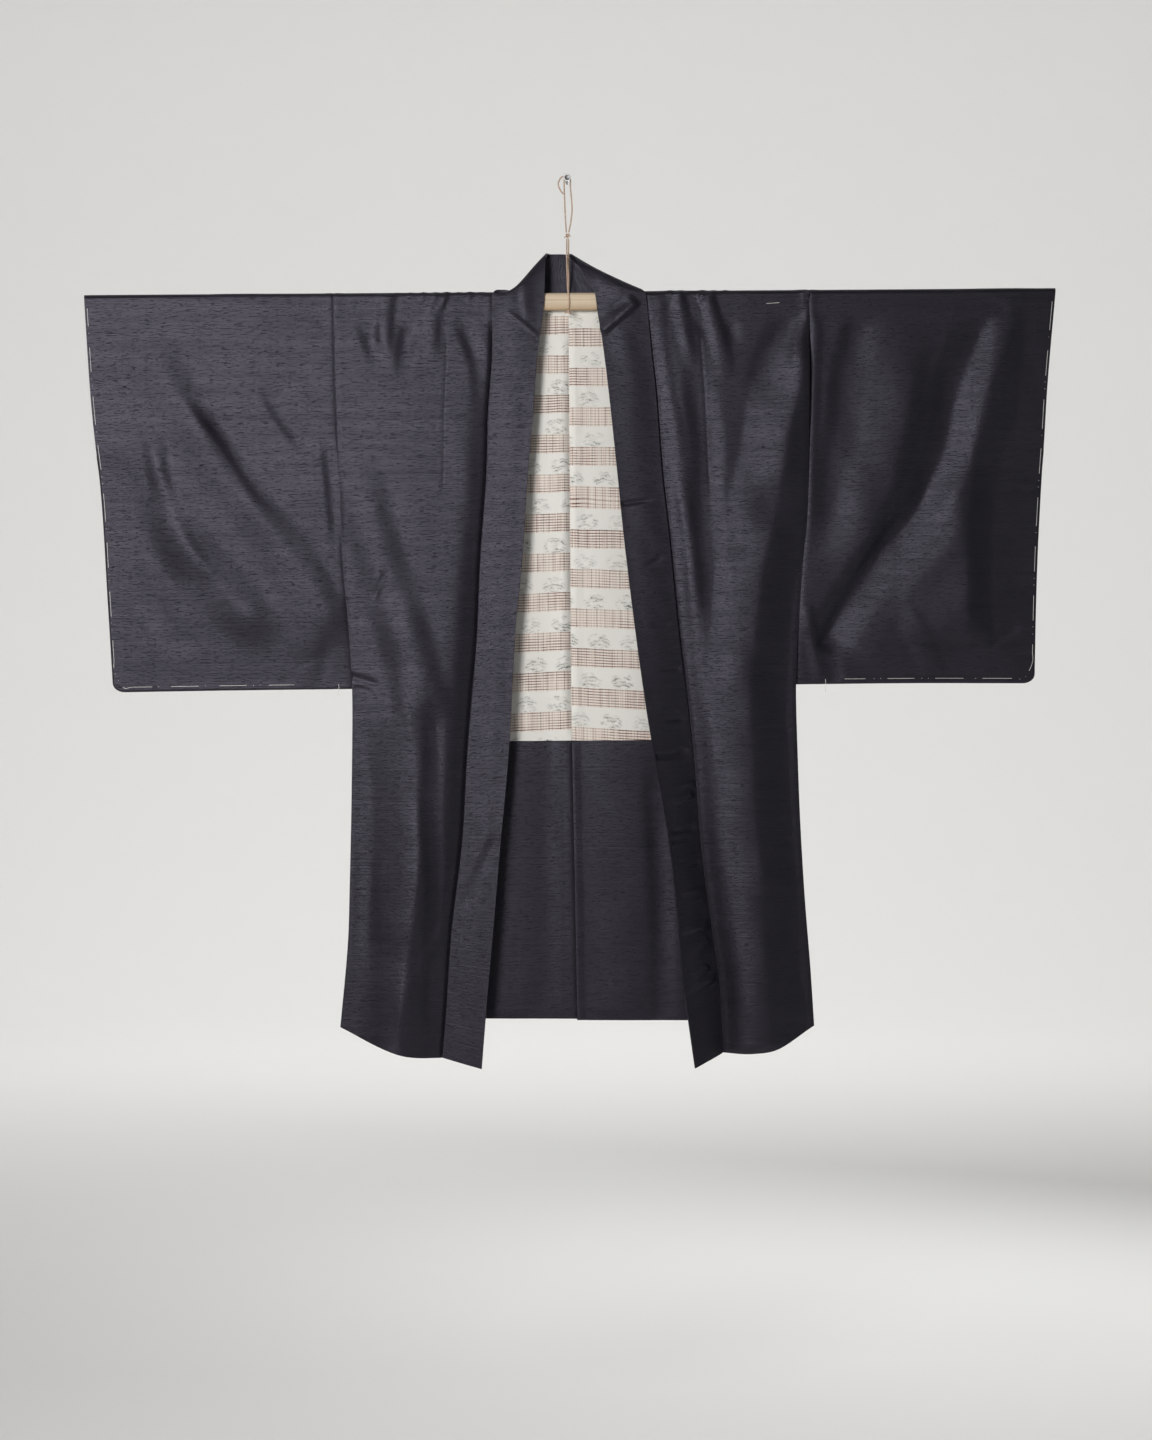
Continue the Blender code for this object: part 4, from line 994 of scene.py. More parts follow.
# ---------------------------------------------------------------------------------------------
# Finishes
# ---------------------------------------------------------------------------------------------
def black_silk(look):
    """Plain-woven tsumugi silk, black with a violet cast: slubs run across the piece."""
    silk = Finish("slubbed black silk")
    cut = silk.cut()
    slub = silk.noise(cut, (58, 1000, 1), detail=1.5).window(0.635, 0.685)
    fleck = silk.noise(cut, (125, 1150, 1), (3.1, 7.7, 0)).window(0.635, 0.685)
    bright = silk.noise(cut, (60, 900, 1), (9.0, 2.0, 0)).window(0.62, 0.72)
    bars = silk.noise(cut, (2.5, 330, 1), detail=3.0)
    ends = silk.noise(cut, (620, 5, 1))
    cloud = silk.noise(cut, (7, 90, 1), detail=3.0)
    patches = silk.noise(cut, (5, 7, 1), (4.0, 1.0, 0))
    dark = (slub * 0.62).math("MAXIMUM", fleck * 0.80) * patches.window(0.36, 0.62, 0.5, 1.0)
    colour = silk.layers(shade(look.silk, 0.88),
                         (bars.window(0.25, 0.75), shade(look.silk, 1.12)),
                         (ends.window(0.3, 0.7, 0.0, 0.35), shade(look.silk, 0.80)),
                         (cloud.window(0.3, 0.7, 0.0, 0.25), shade(look.silk, 1.35)),
                         (bright * 0.45, shade(look.silk, 1.75)),
                         (dark, shade(look.silk, 0.18)))
    across, along, _ = silk.parts(cut)
    weft, warp = ((part * (TURN / look.pick)).math("SINE") for part in (along, across))
    height = slub * 0.8 + bars * 1.15 + fleck * 0.7 + weft * warp * 0.12
    rough = (cloud + bars * 0.8).window(0.6, 1.2, look.gloss - 0.05, look.gloss + 0.07)
    silk.finish(colour, dark.math("MULTIPLY_ADD", 0.30, rough),
                Normal=silk.bump(height, 0.00031, 0.9), Sheen_Weight=look.sheen,
                Sheen_Roughness=0.38, Sheen_Tint=(0.72, 0.69, 0.86, 1.0), IOR=1.5,
                Specular_IOR_Level=look.lustre, Specular_Tint=(0.83, 0.79, 1.0, 1.0))


def lining_silk(look):
    """Cream lining with woven check bands and faint pine sprigs between them."""
    silk = Finish("printed lining silk")
    cut = silk.cut()
    across, along, _ = silk.parts(cut)
    down = along * (-1.0 / look.band) + (silk.noise(cut, (22, 22, 1)) - 0.5) * 0.05
    band, within = down.math("FLOOR"), down.math("FRACT")
    share = look.check_share
    check = within.window(0.0, 0.02) * within.window(share, share + 0.02, 1.0, 0.0)

    # Check bands: even cross lines, worn in places, and uneven uprights.
    line = ((within * (look.check_lines / share)).math("FRACT") - 0.5).math("ABSOLUTE")
    thread = silk.noise(cut, (160, 40, 1), detail=1.0)
    worn = silk.noise(cut, (16, 26, 1), (7.0, 3.0, 0.0), detail=1.0)
    line = line.window(0.10, 0.24, 1.0, 0.0) * thread.window(0.25, 0.55, 0.55, 1.0)
    line = line * worn.window(0.36, 0.58, 0.45, 1.0)
    bar = silk.to_line(across * (1 / 0.0115) + band * 13.7).window(0.030, 0.075, 1.0, 0.0)
    finer = silk.to_line(across * (1 / 0.0040) + band * 5.3).window(0.10, 0.22, 1.0, 0.0)
    stripe = silk.noise(cut, (900, 3, 1), detail=0.0).window(0.50, 0.66, 0.0, 0.25)
    checked = silk.layers(shade(look.cream), (check, shade(look.blush)),
                          (stripe * check, shade(look.check_rust, 1.9)),
                          (line * 0.95, shade(look.check_rust, 0.62)),
                          (finer * 0.15, shade(look.check_rust)),
                          (bar * 0.34, shade(look.check_umber, 1.1)),
                          (bar * line * 0.8, shade(look.check_umber, 0.5)))

    # Plain bands: sprays of arcs, one to a cell, broken into needles.
    cell = across * (1 / look.sprig) + silk.chance(band) * 5.0
    size = silk.chance(cell.math("FLOOR") + band * 7.3)
    sketch = (silk.noise(cut, (170, 170, 1), detail=3.0) - 0.5) * 0.010
    side = (cell.math("FRACT") - 0.5) * look.sprig
    up = ((1 + share) / 2 + 0.10 - within) * look.band + sketch
    arcs = ((up + side * side * 22.0) * (TURN / 0.0046)).math("SINE").window(0.20, 0.85)
    far = (side * side * 0.55 + up * up).math("SQRT")
    spray = far.window(0.0080, 0.0132, 1.0, 0.0)
    patch = silk.noise(cut, (95, 130, 1), (5.0, 1.0, 0.0)).window(0.38, 0.60)
    needles = silk.noise(cut, (900, 520, 1), detail=1.0).window(0.42, 0.62, 0.45, 1.0)
    mark = arcs * spray * (patch * needles) * 0.95 + spray * patch * 0.20
    mark = mark * size.window(0.0, 1.0, 0.45, 1.0) * (1.0 - check)

    stain = silk.noise(cut, (14, 9, 1), (2.0, 2.0, 0.0), detail=3.0)
    colour = silk.layers(shade(look.cream), (mark, shade(look.pine)), (check, checked),
                         (stain.window(0.45, 0.75, 0.0, 0.16), shade(look.blush, 0.8)))
    height = silk.noise(cut, (60, 1400, 1), detail=1.0) + line * 0.4
    silk.finish(colour, 0.62, Normal=silk.bump(height, 0.00012, 0.6), Sheen_Weight=0.15,
                Sheen_Roughness=0.4, Specular_IOR_Level=0.35)


def slat_wood(look):
    """Planed pale wood, its grain along the slat, with painted shade that darkens its underside."""
    wood = Finish("planed slat wood")
    place = wood.place()
    grain = wood.noise(place, (7, 420, 420), detail=4.0)
    streak = wood.noise(place, (3, 130, 130), (4.0, 0.0, 0.0))
    # Painted shade: towards the underside the wood is blended into the darker grain colour,
    # standing in for the shade under the slat's rounding.
    under = wood.parts(place)[2].window(SLAT_LOW.z, SLAT_LOW.z + 0.011, 0.55, 0.0)
    colour = wood.layers(shade(look.wood, 1.05),
                         (grain.window(0.35, 0.70), shade(look.wood, 0.86)),
                         (streak.window(0.52, 0.70, 0.0, 0.5), shade(look.wood_grain_and_shade, 1.25)),
                         (under, shade(look.wood_grain_and_shade)))
    wood.finish(colour, grain.window(0.3, 0.7, 0.42, 0.58),
                Normal=wood.bump(grain, 0.00015, 0.5), Specular_IOR_Level=0.4)


def jute(look):
    """Two-ply natural twine: fibres lie along the plies."""
    fibre = Finish("jute twine")
    cut = fibre.cut()
    strands = fibre.noise(cut, (2600, 260, 1), detail=3.0)
    tone = fibre.noise(cut, (300, 60, 1), (1.0, 5.0, 0.0))
    colour = fibre.layers(shade(look.jute, 0.62),
                          (strands.window(0.30, 0.70), shade(look.jute, 1.18)),
                          (tone.window(0.45, 0.75, 0.0, 0.45), shade(look.jute, 1.5)))
    fibre.finish(colour, 0.85, Normal=fibre.bump(strands, 0.00018, 0.9), Sheen_Weight=0.3,
                 Sheen_Roughness=0.6, Specular_IOR_Level=0.25)


def enamel(look):
    """Chipped white enamel of the nail's rim."""
    paint = Finish("nail enamel")
    place = paint.place()
    chips = paint.noise(place, scale=900.0, detail=3.0).window(0.62, 0.68)
    haze = paint.noise(place, scale=260.0)
    colour = paint.layers(shade(look.enamel), (haze.window(0.3, 0.7), shade(look.enamel, 0.88)),
                          (chips, shade(look.steel, 0.9)))
    paint.finish(colour, 0.32, Normal=paint.bump(chips, 0.0001, 0.4), Specular_IOR_Level=0.5)


def steel(look):
    """Dull zinc-coated steel of the shank and the middle of the head."""
    metal = Finish("nail steel")
    place = metal.place()
    drawn = metal.noise(place, (1400, 40, 1400))
    patina = metal.noise(place, scale=420.0, detail=3.0)
    colour = metal.layers(shade(look.steel), (patina.window(0.4, 0.7), shade(look.steel, 0.6)))
    metal.finish(colour, patina.window(0.3, 0.7, 0.34, 0.55),
                 Normal=metal.bump(drawn, 0.00005, 0.5), Metallic=0.85)


def basting_cotton(look):
    """Soft white basting cotton."""
    cotton = Finish("white basting cotton")
    twist = cotton.noise(cotton.place(), (2200, 2200, 2200), detail=1.0)
    colour = cotton.layers(shade(look.thread, 0.85), (twist, shade(look.thread)))
    cotton.finish(colour, 0.8, Normal=cotton.bump(twist, 0.0001, 0.5), Sheen_Weight=0.2,
                  Specular_IOR_Level=0.3)


def studio_paint(look):
    """Matt pale floor."""
    paint = Finish("studio floor")
    grain = paint.noise(paint.place(), scale=3.0, detail=4.0)
    colour = paint.layers(shade(look.floor, 0.985), (grain, shade(look.floor)))
    paint.finish(colour, 0.9, Specular_IOR_Level=0.1)


# ---------------------------------------------------------------------------------------------
# Cloth
# ---------------------------------------------------------------------------------------------
def back_grid(side, cell):
    """Points of one half of the back, side to centre seam and neckline to hem.

    The numbers returned with it are of its columns outside the neckline and of the row where the
    lining ends.
    """
    neck_x = NECK_CROSS[side][2]
    to_neck = spread(BACK_BREADTH, cell)
    to_centre = spread(abs(neck_x), cell)[1:]
    upper = spread(NECK_Z - LINING_FOOT, cell)
    lower = spread(FACING_LENGTH, cell)[1:]
    share = np.concatenate([to_neck * NECK_SHARE, mix(NECK_SHARE, 1.0, to_centre)])
    foot = read(BACK_HEM[side], share)[:, None]
    z = np.concatenate([np.tile(mix(NECK_Z, LINING_FOOT, upper), (len(share), 1)),
                        mix(LINING_FOOT, foot, lower[None, :])], axis=1)
    side_x, centre_x = read(SIDE_EDGE[side], z), read(CENTRE_SEAM, z)
    x = np.concatenate([mix(side_x[:len(to_neck)], neck_x, to_neck[:, None]),
                        mix(neck_x, centre_x[len(to_neck):], to_centre[:, None])])
    return np.stack([x, back_depth(x, z), z], axis=-1), len(to_neck), len(upper) - 1


def flat_cut(grid, first_back):
    """Cut of cloth that runs over the slat: heights are turned over from the back's first row."""
    cut = grid[:, :, ::2].copy()
    cut[:, first_back:, 1] = 2 * OVER_Z - cut[:, first_back:, 1]
    return cut


def press_lines(side, u, rows, z):
    """Sharp storage creases that the hang hasn't dropped out."""
    (top, foot), (first, last) = PRESS_SPAN, PRESS_ROW_SPAN
    dip = np.zeros(np.broadcast(u, z).shape)
    for mark in PRESS_COLUMNS[side]:
        held = smooth((top - z) / PRESS_FADE[0]) * smooth((z - foot) / PRESS_FADE[1])
        dip += PRESS_DEPTH * bell((u - mark) * FRONT_BREADTH, PRESS_WIDTH) * held
    for mark in PRESS_ROWS[side]:
        held = smooth((u - first) / PRESS_ROW_FADE) * smooth((last - u) / PRESS_ROW_FADE)
        dip += PRESS_DEPTH * bell(rows - mark, PRESS_WIDTH) * held
    return dip


def body_half(side, cells):
    """Front and back of one half in one cut, folded over the slat, with the neck notched out."""
    fine = spread(FRONT_BREADTH, cells.front_cell, marks=PRESS_COLUMNS[side])
    rows = spread(FRONT_LENGTH, cells.front_cell, marks=PRESS_ROWS[side])[None, :]
    u = fine[:, None]
    short = read(FRONT_HEM[side], u) - (FRONT_TOP - FRONT_LENGTH)
    z = FRONT_TOP - FRONT_LENGTH * rows + short * smooth((rows - HEM_FROM) / (1 - HEM_FROM))
    under = UNDERLAP * smooth((UNDERLAP_FROM - z) / FREE_REACH)
    x = mix(read(SIDE_EDGE[side], z), read(COLLAR_SEAM[side], z) - AWAY[side] * under, u)
    y = front_depth(side, x, z, u) + press_lines(side, u, rows, z)
    front = np.stack([x, y, z], axis=-1)

    def across(share, z):
        return mix(read(SIDE_EDGE[side], z), np.interp(share, (0, 0.5, 1), NECK_CROSS[side]), fine)

    def ridges(x, z):
        return np.maximum(body_rise(side, x, z), 0.0) * (1 - collar_trough(side, x, z))

    # The back has columns of its own, read at the front's shares so that the cut is one piece.
    back, columns, _ = back_grid(side, cells.back_cell)
    own = spread(BACK_BREADTH, cells.back_cell)
    behind = np.apply_along_axis(lambda line: np.interp(fine, own, line), 0, back[:columns])
    behind[:, :, 1] = back_depth(behind[:, :, 0], behind[:, :, 2])
    grid = np.concatenate([front[:, ::-1], laid_over(side, across, ridges), behind], axis=1)
    first_back = grid.shape[1] - behind.shape[1]
    inner = np.pad(back[columns:], ((0, 0), (first_back, 0), (0, 0)))
    grid = np.concatenate([grid, inner])
    used = np.ones((grid.shape[0] - 1, grid.shape[1] - 1), bool)
    used[len(fine) - 1:, :first_back] = False
    return cloth_piece("silk_body_" + side, grid, flat_cut(grid, first_back), used=used)


def sleeve(side, cells):
    """A folded bag: open to the body along its inner end and at the cuff opening."""
    share = spread(SLEEVE_BREADTH, cells.sleeve_cell, fine=SLEEVE_FINE)
    foot = sleeve_foot(side, share)[:, None]
    rows = spread(SLEEVE_LENGTH, cells.sleeve_cell)[None, :]

    def across(share, z):
        return mix(read(SIDE_EDGE[side], z), read(CUFF_EDGE[side], z), share)

    faces = []
    for k, start in enumerate((FRONT_TOP, NECK_Z)):
        z = mix(start, foot + BAG_EDGE / 2, rows)
        x = across(share[:, None], z)
        faces.append(np.stack([x, sleeve_depths(side, x, z, foot)[k], z], axis=-1))
    front, back = faces
    top = laid_over(side, lambda _, z: across(share, z),
                    lambda x, z: np.maximum(sleeve_rise(side, x, z), 0.0))
    middle = (front[:, -1] + back[:, -1]) / 2
    half = (back[:, -1, 1] - front[:, -1, 1]) / 2
    low = [middle + np.outer(half, (0.0, math.cos(turn), -math.sin(turn)))
           for turn in np.linspace(0.0, math.pi, 8)[1:-1]]
    grid = np.concatenate([front[:, ::-1], top, back, np.stack(low, axis=1)], axis=1)
    cut = flat_cut(grid, front.shape[1] + top.shape[1])
    return cloth_piece("silk_sleeve_" + side, grid, cut, ring=True, merge=0.00003)


def side_gusset(side, cells):
    """Narrow wedge between front and back side edges, folded inwards in a V."""
    foot = float(read(FRONT_HEM[side], 0.0)) + GUSSET_SHORT
    down = spread(GUSSET_TOP - foot, cells.back_cell)
    z = mix(GUSSET_TOP, foot, down)
    edge = read(SIDE_EDGE[side], z) - AWAY[side] * GUSSET_INSET
    front = front_depth(side, edge, z, 0.0) + CLOTH + GUSSET_AIR
    above = np.maximum(z, read(BACK_HEM[side], 0.0))
    back = back_depth(edge, above) - 2 * CLOTH - GAP - GUSSET_AIR
    tuck = AWAY[side] * mix(*GUSSET_TUCK, down)
    grid = np.stack([np.stack([edge - tuck * (1 - abs(2 * t - 1) ** 1.6), mix(front, back, t), z],
                              axis=-1) for t in np.linspace(0.0, 1.0, GUSSET_COLUMNS)])
    across = np.linspace(0.0, GUSSET_BREADTH, GUSSET_COLUMNS)[:, None]
    cut = np.stack(np.broadcast_arrays(across, z[None, :]), axis=-1)
    return cloth_piece("silk_gusset_" + side, grid, cut)


def back_layer(name, side, cells, upper, thickness):
    """Layer on the inside of the back, made from the back's own points moved out."""
    grid, _, split = back_grid(side, cells.back_cell)
    grid = grid[:, :split + 1] if upper else grid[:, split:]
    grid[:, 0, 2] -= GAP / 2
    grid[:, -1, 2] += GAP / 2
    x, y, z = np.moveaxis(grid, -1, 0)
    centre = read(CENTRE_SEAM, z)
    to_seam = np.abs(x - centre)
    y -= CLOTH / 2 + GAP + thickness / 2
    if upper:
        loose = LINING_LOOSE * (1 + unevenness(x, z, 0.030, 0.090, LINING_SEED[side]))
        tuck = np.maximum(fold_rise(LINING_TUCKS, x, z), -loose)
        edges = smooth((NECK_Z - 0.02 - z) / 0.05) * smooth((z - LINING_FOOT) / 0.03)
        lips = LINING_LIP[side] * bell(to_seam - LIP_PLACE, LIP_REACH)
        lips = lips * (1 + 0.45 * unevenness(0 * x, z, 1.0, 0.016, LIP_SEED))
        y -= (loose + lips + tuck) * edges * smooth(to_seam / LINING_DIP[side])
        sag = LINING_SAG[side] * np.clip(SAG_FROM - z, 0.0, None) * to_seam
        slip = LINING_SLIP[side] * smooth((SLIP_FROM - z) / 0.004)
        cut = np.stack([x - centre, z + sag + slip - CHECK_TOP[side]], axis=-1)
    else:
        rise, middle, reach = FACING_ROLL
        y -= rise * bell(to_seam - middle, reach) * smooth((LINING_FOOT - z) / 0.01)
        cut = np.stack([x, -z], axis=-1)
    return cloth_piece(name + side, grid, cut, thickness)


def collar(cells):
    """One long folded band, ruled from seam edge to free edge, with its creases pressed in."""
    rows = np.reshape(COLLAR_ROWS, (-1, 2, 3)) / 1000
    middles = rows.mean(axis=1)
    spans = np.linalg.norm(np.diff(middles, axis=0), axis=1)
    stations = []
    for k, span in enumerate(spans):
        high = min(middles[k][2], middles[k + 1][2]) > FINE_COLLAR[0]
        cell = cells.neck_cell if high or middles[k][0] > FINE_COLLAR[1] else cells.collar_cell
        steps = max(2, round(span / cell))
        stations.extend(k + s / steps for s in range(steps))
    last = len(rows) - 1.0
    ends = np.array(COLLAR_HEM_FINE) / spans[0]
    stations = np.sort(np.concatenate([stations, [last], ends, last - ends]))
    keys = np.arange(len(rows), dtype=float)
    seam, free = (np.stack([read(np.stack([keys, rows[:, edge, axis]], axis=1), stations)
                            for axis in range(3)], axis=-1) for edge in range(2))
    across = spread(COLLAR_BREADTH, COLLAR_CELL, fine=COLLAR_FINE)[:, None]
    grid = mix(seam, free, across[:, :, None])
    x, y, z = np.moveaxis(grid, -1, 0)
    droop = NECK_DROOP * np.interp(stations, *NECK_DROOP_ROWS)
    z -= across * (1 - across) ** 3 / 0.1055 * droop  # 0.1055 is the product's highest value
    arch = np.sin(math.pi * across)
    ripple = COLLAR_RIPPLE[0] * unevenness(x * 3 + z, z, *COLLAR_RIPPLE[1:], RIPPLE_SEED)
    ripple = ripple + COLLAR_SWELL * swell(x, z, COLLAR_SEED) + COLLAR_PUFF * arch
    start, over = COLLAR_FRONT
    y -= smooth((start - y) / over) * (fold_rise(COLLAR_FOLDS, x, z) + ripple * arch)
    run = travelled(grid.mean(axis=0))
    cut = np.stack(np.broadcast_arrays(across * COLLAR_BREADTH, run), axis=-1)
    return cloth_piece("silk_collar", grid, cut, COLLAR, COLLAR_EDGE_ROUND)


# ---------------------------------------------------------------------------------------------
# Slat, nail and twine
# ---------------------------------------------------------------------------------------------
def round_angles(sides):
    return np.linspace(0.0, TURN, sides, endpoint=False)


def ring_faces(count, sides, closed=False):
    """Faces between rings of points; closed joins the last ring to the first."""
    pairs = [(i * sides, (i + 1) % count * sides) for i in range(count if closed else count - 1)]
    return [(a + k, a + (k + 1) % sides, b + (k + 1) % sides, b + k)
            for a, b in pairs for k in range(sides)]


def loft(name, rings, cut=None):
    """Closed solid through rings of equal count, capped at both ends."""
    rings = np.asarray(rings, float)
    count, sides = rings.shape[:2]
    caps = [tuple(range(sides)), tuple(range((count - 1) * sides, count * sides))]
    piece = new_piece(name, rings.reshape(-1, 3), ring_faces(count, sides) + caps, cut)
    tidy_normals(piece)
    piece.data.set_sharp_from_angle(angle=math.radians(50))
    return piece


def nail_shank(sides=40):
    """Shank and middle of the head, turned about the nail's axis."""
    return loft("nail_shank", [[(math.cos(a) * r, y, math.sin(a) * r) for a in round_angles(sides)]
                               for r, y in NAIL_PROFILE])


def nail_rim(sides=48, section_sides=12):
    """Round rim of the head, turned about the nail's axis."""
    radius, middle, thick = NAIL_RIM
    section = [(radius + thick * math.cos(a), middle + thick * math.sin(a))
               for a in round_angles(section_sides)]
    points = [(math.cos(a) * r, y, math.sin(a) * r) for a in round_angles(sides)
              for r, y in section]
    piece = new_piece("nail_rim", points, ring_faces(sides, section_sides, closed=True))
    tidy_normals(piece)
    return piece


def planed_slat():
    """Slat of rounded-rectangle section with eased ends and the slight waver of hand planing."""
    middle = (SLAT_LOW + SLAT_HIGH) / 2
    straight_y = (SLAT_HIGH.y - SLAT_LOW.y) / 2 - SLAT_ROUND
    straight_z = (SLAT_HIGH.z - SLAT_LOW.z) / 2 - SLAT_ROUND
    length = SLAT_HIGH.x - SLAT_LOW.x
    inner = [(run, 0.0) for run in np.linspace(0.02, length - 0.02, 80)]
    far = [(length - run, inset) for run, inset in reversed(SLAT_ENDS)]
    corners = ((1, 1), (-1, 1), (-1, -1), (1, -1))
    rings = []
    for run, inset in [*SLAT_ENDS, *inner, *far]:
        waver = SLAT_WAVER * (1 + math.sin(run * 31.0) * math.cos(run * 13.0))
        reach = SLAT_ROUND - inset - waver
        rings.append([(SLAT_LOW.x + run, middle.y + sign_y * straight_y + reach * math.cos(turn),
                       middle.z + sign_z * straight_z + reach * math.sin(turn))
                      for quarter, (sign_y, sign_z) in enumerate(corners)
                      for turn in np.linspace(quarter, quarter + 1, 8) * math.pi / 2])
    return loft("slat", rings)


def twine_tube(name, path, radius, lobes=2, sides=12):
    """Laid twine along a path: a lobed section that turns as it goes."""
    path = np.asarray(path, float)
    tangent = np.gradient(path, axis=0)
    tangent /= np.linalg.norm(tangent, axis=1, keepdims=True)
    normal = np.cross(tangent[0], (0.0, 0.3, 1.0) if abs(tangent[0][2]) < 0.8 else (0.0, 1.0, 0.3))
    angles = round_angles(sides)
    rings, cut = [], []
    for point, along, here in zip(path, tangent, travelled(path)):
        normal = normal - along * (normal @ along)
        normal /= np.linalg.norm(normal)
        turn = TURN * here / TWINE_LAY
        reach = radius * (0.87 + 0.13 * np.cos(lobes * (angles - turn)))
        rings.append(point + np.outer(np.cos(angles) * reach, normal)
                     + np.outer(np.sin(angles) * reach, np.cross(along, normal)))
        cut.append(np.stack([(angles - turn) * radius, np.full(sides, here)], axis=1))
    return loft(name, rings, np.concatenate(cut))


def tied_knot(name, centre, size, tails):
    """Overhand knot pulled tight, with its cut ends."""
    t = np.linspace(0.0, TURN, 90)
    loop = np.stack([np.sin(t) + 2 * np.sin(2 * t), np.cos(3.0 * t) * 0.9,
                     np.cos(t) - 2 * np.cos(2 * t)], axis=1) / 3.0
    path = np.array(centre) + loop * (np.array(size) - TWINE * 0.38)
    pieces = [twine_tube(name + "_turns", path, TWINE * 0.42)]
    for k, tail in enumerate(tails):
        route = np.array(centre) + np.array([(0.0, 0.0, 0.0), *tail])
        pieces.append(twine_tube(f"{name}_tail_{k}", through(route, 0.0005), TWINE * 0.36))
    return joined(name, pieces)


# ---------------------------------------------------------------------------------------------
# Basting, by Geometry Nodes
# ---------------------------------------------------------------------------------------------
BASTING_INPUTS = (("Geometry", "Geometry", None), ("Pitch", "Float", 0.065),
                  ("Stitch", "Float", 0.037), ("Tack Gap", "Float", 0.0093),
                  ("Tack", "Float", 0.0016), ("Thread", "Float", 0.0003), ("Phase", "Float", 0.0),
                  ("Uneven", "Float", 0.22), ("Seed", "Int", 3),
                  ("Thread Finish", "Material", None))
# Steps of the points along a thread, and of those along the line that it follows.
BASTING_STEP = 0.0008
BASTING_ROUTE_STEP = 0.0012


def basting_tree():
    """Running stitch: long stitches with small tacks between them, along a line on the cloth."""
    groups = bpy.data.node_groups
    tree = groups.get("basting") or groups.new("basting", "GeometryNodeTree")
    tree.nodes.clear()
    tree.interface.clear()
    for name, kind, default in BASTING_INPUTS:
        socket = tree.interface.new_socket(name, in_out="INPUT", socket_type="NodeSocket" + kind)
        if default is not None:
            socket.default_value = default
    tree.interface.new_socket("Geometry", in_out="OUTPUT", socket_type="NodeSocketGeometry")
    nodes = Nodes(tree)
    given = {s.name: Value(nodes, s) for s in nodes.node("NodeGroupInput", {}).outputs}
    pitch, gap = given["Pitch"], given["Tack Gap"]

    def compare(operation, a, b):
        return nodes.out("FunctionNodeCompare", "Result", {"A": a, "B": b}, data_type="FLOAT",
                         operation=operation)

    def logic(operation, a, b=False):
        return nodes.out("FunctionNodeBooleanMath", 0, {0: a, 1: b}, operation=operation)

    line = nodes.out("GeometryNodeMeshToCurve", "Curve", {"Mesh": given["Geometry"]})
    line = nodes.out("GeometryNodeResampleCurve", "Curve", {"Curve": line, "Length": BASTING_STEP},
                     mode="LENGTH")
    kept = nodes.node("GeometryNodeCaptureAttribute", {}, domain="POINT")
    kept.capture_items.new("FLOAT", "Run")
    nodes.put(kept.inputs["Geometry"], line)
    nodes.put(kept.inputs["Run"], nodes.out("GeometryNodeSplineParameter", "Length", {}))
    chain = nodes.out("GeometryNodeCurveToMesh", "Mesh",
                      {"Curve": Value(nodes, kept.outputs["Geometry"])})
    run = Value(nodes, kept.outputs["Run"]) + given["Phase"]
    chance = nodes.out("FunctionNodeRandomValue", 1, {
        "ID": run.math("DIVIDE", pitch).math("FLOOR"), "Seed": given["Seed"]}, data_type="FLOAT")
    stitch = given["Stitch"] * ((chance - 0.5) * given["Uneven"] + 1.0)
    within = run.math("MODULO", pitch)
    past = (within - stitch).math("MODULO", gap)
    tack = logic("AND", compare("GREATER_THAN", past, gap - given["Tack"]),
                 compare("LESS_THAN", within, pitch - gap))
    bare = logic("NOT", logic("OR", compare("LESS_THAN", within, stitch), tack))
    threads = nodes.out("GeometryNodeDeleteGeometry", "Geometry",
                        {"Geometry": chain, "Selection": bare}, domain="POINT", mode="ALL")
    threads = nodes.out("GeometryNodeMeshToCurve", "Curve", {"Mesh": threads})
    ring = nodes.out("GeometryNodeCurvePrimitiveCircle", "Curve",
                     {"Resolution": 6, "Radius": given["Thread"]}, mode="RADIUS")
    tube = nodes.out("GeometryNodeCurveToMesh", "Mesh",
                     {"Curve": threads, "Profile Curve": ring, "Fill Caps": True})
    real = nodes.out("GeometryNodeRealizeInstances", "Geometry", {"Geometry": tube})
    finished = nodes.out("GeometryNodeSetMaterial", "Geometry",
                         {"Geometry": real, "Material": given["Thread Finish"]})
    nodes.node("NodeGroupOutput", {"Geometry": finished})
    return tree


def baste(name, route, **sizes):
    """Stitches along a route that lies on the cloth."""
    mesh = bpy.data.meshes.new(name)
    mesh.from_pydata(np.asarray(route, float).tolist(), [(k, k + 1) for k in range(len(route) - 1)],
                     [])
    piece = link_piece(name, mesh)
    modifier = piece.modifiers.new("basting", "NODES")
    modifier.node_group = basting_tree()
    sockets = {s.name: s.identifier for s in modifier.node_group.interface.items_tree
               if s.in_out == "INPUT"}
    sizes["Thread Finish"] = bpy.data.materials["white basting cotton"]
    for key, value in sizes.items():
        modifier[sockets[key]] = value
    settle(piece)
    return piece


def thread_stand(sewing):
    """From the middle of the cloth to the middle of a thread that is half sunk in it."""
    return CLOTH / 2 + sewing.thread * 0.5


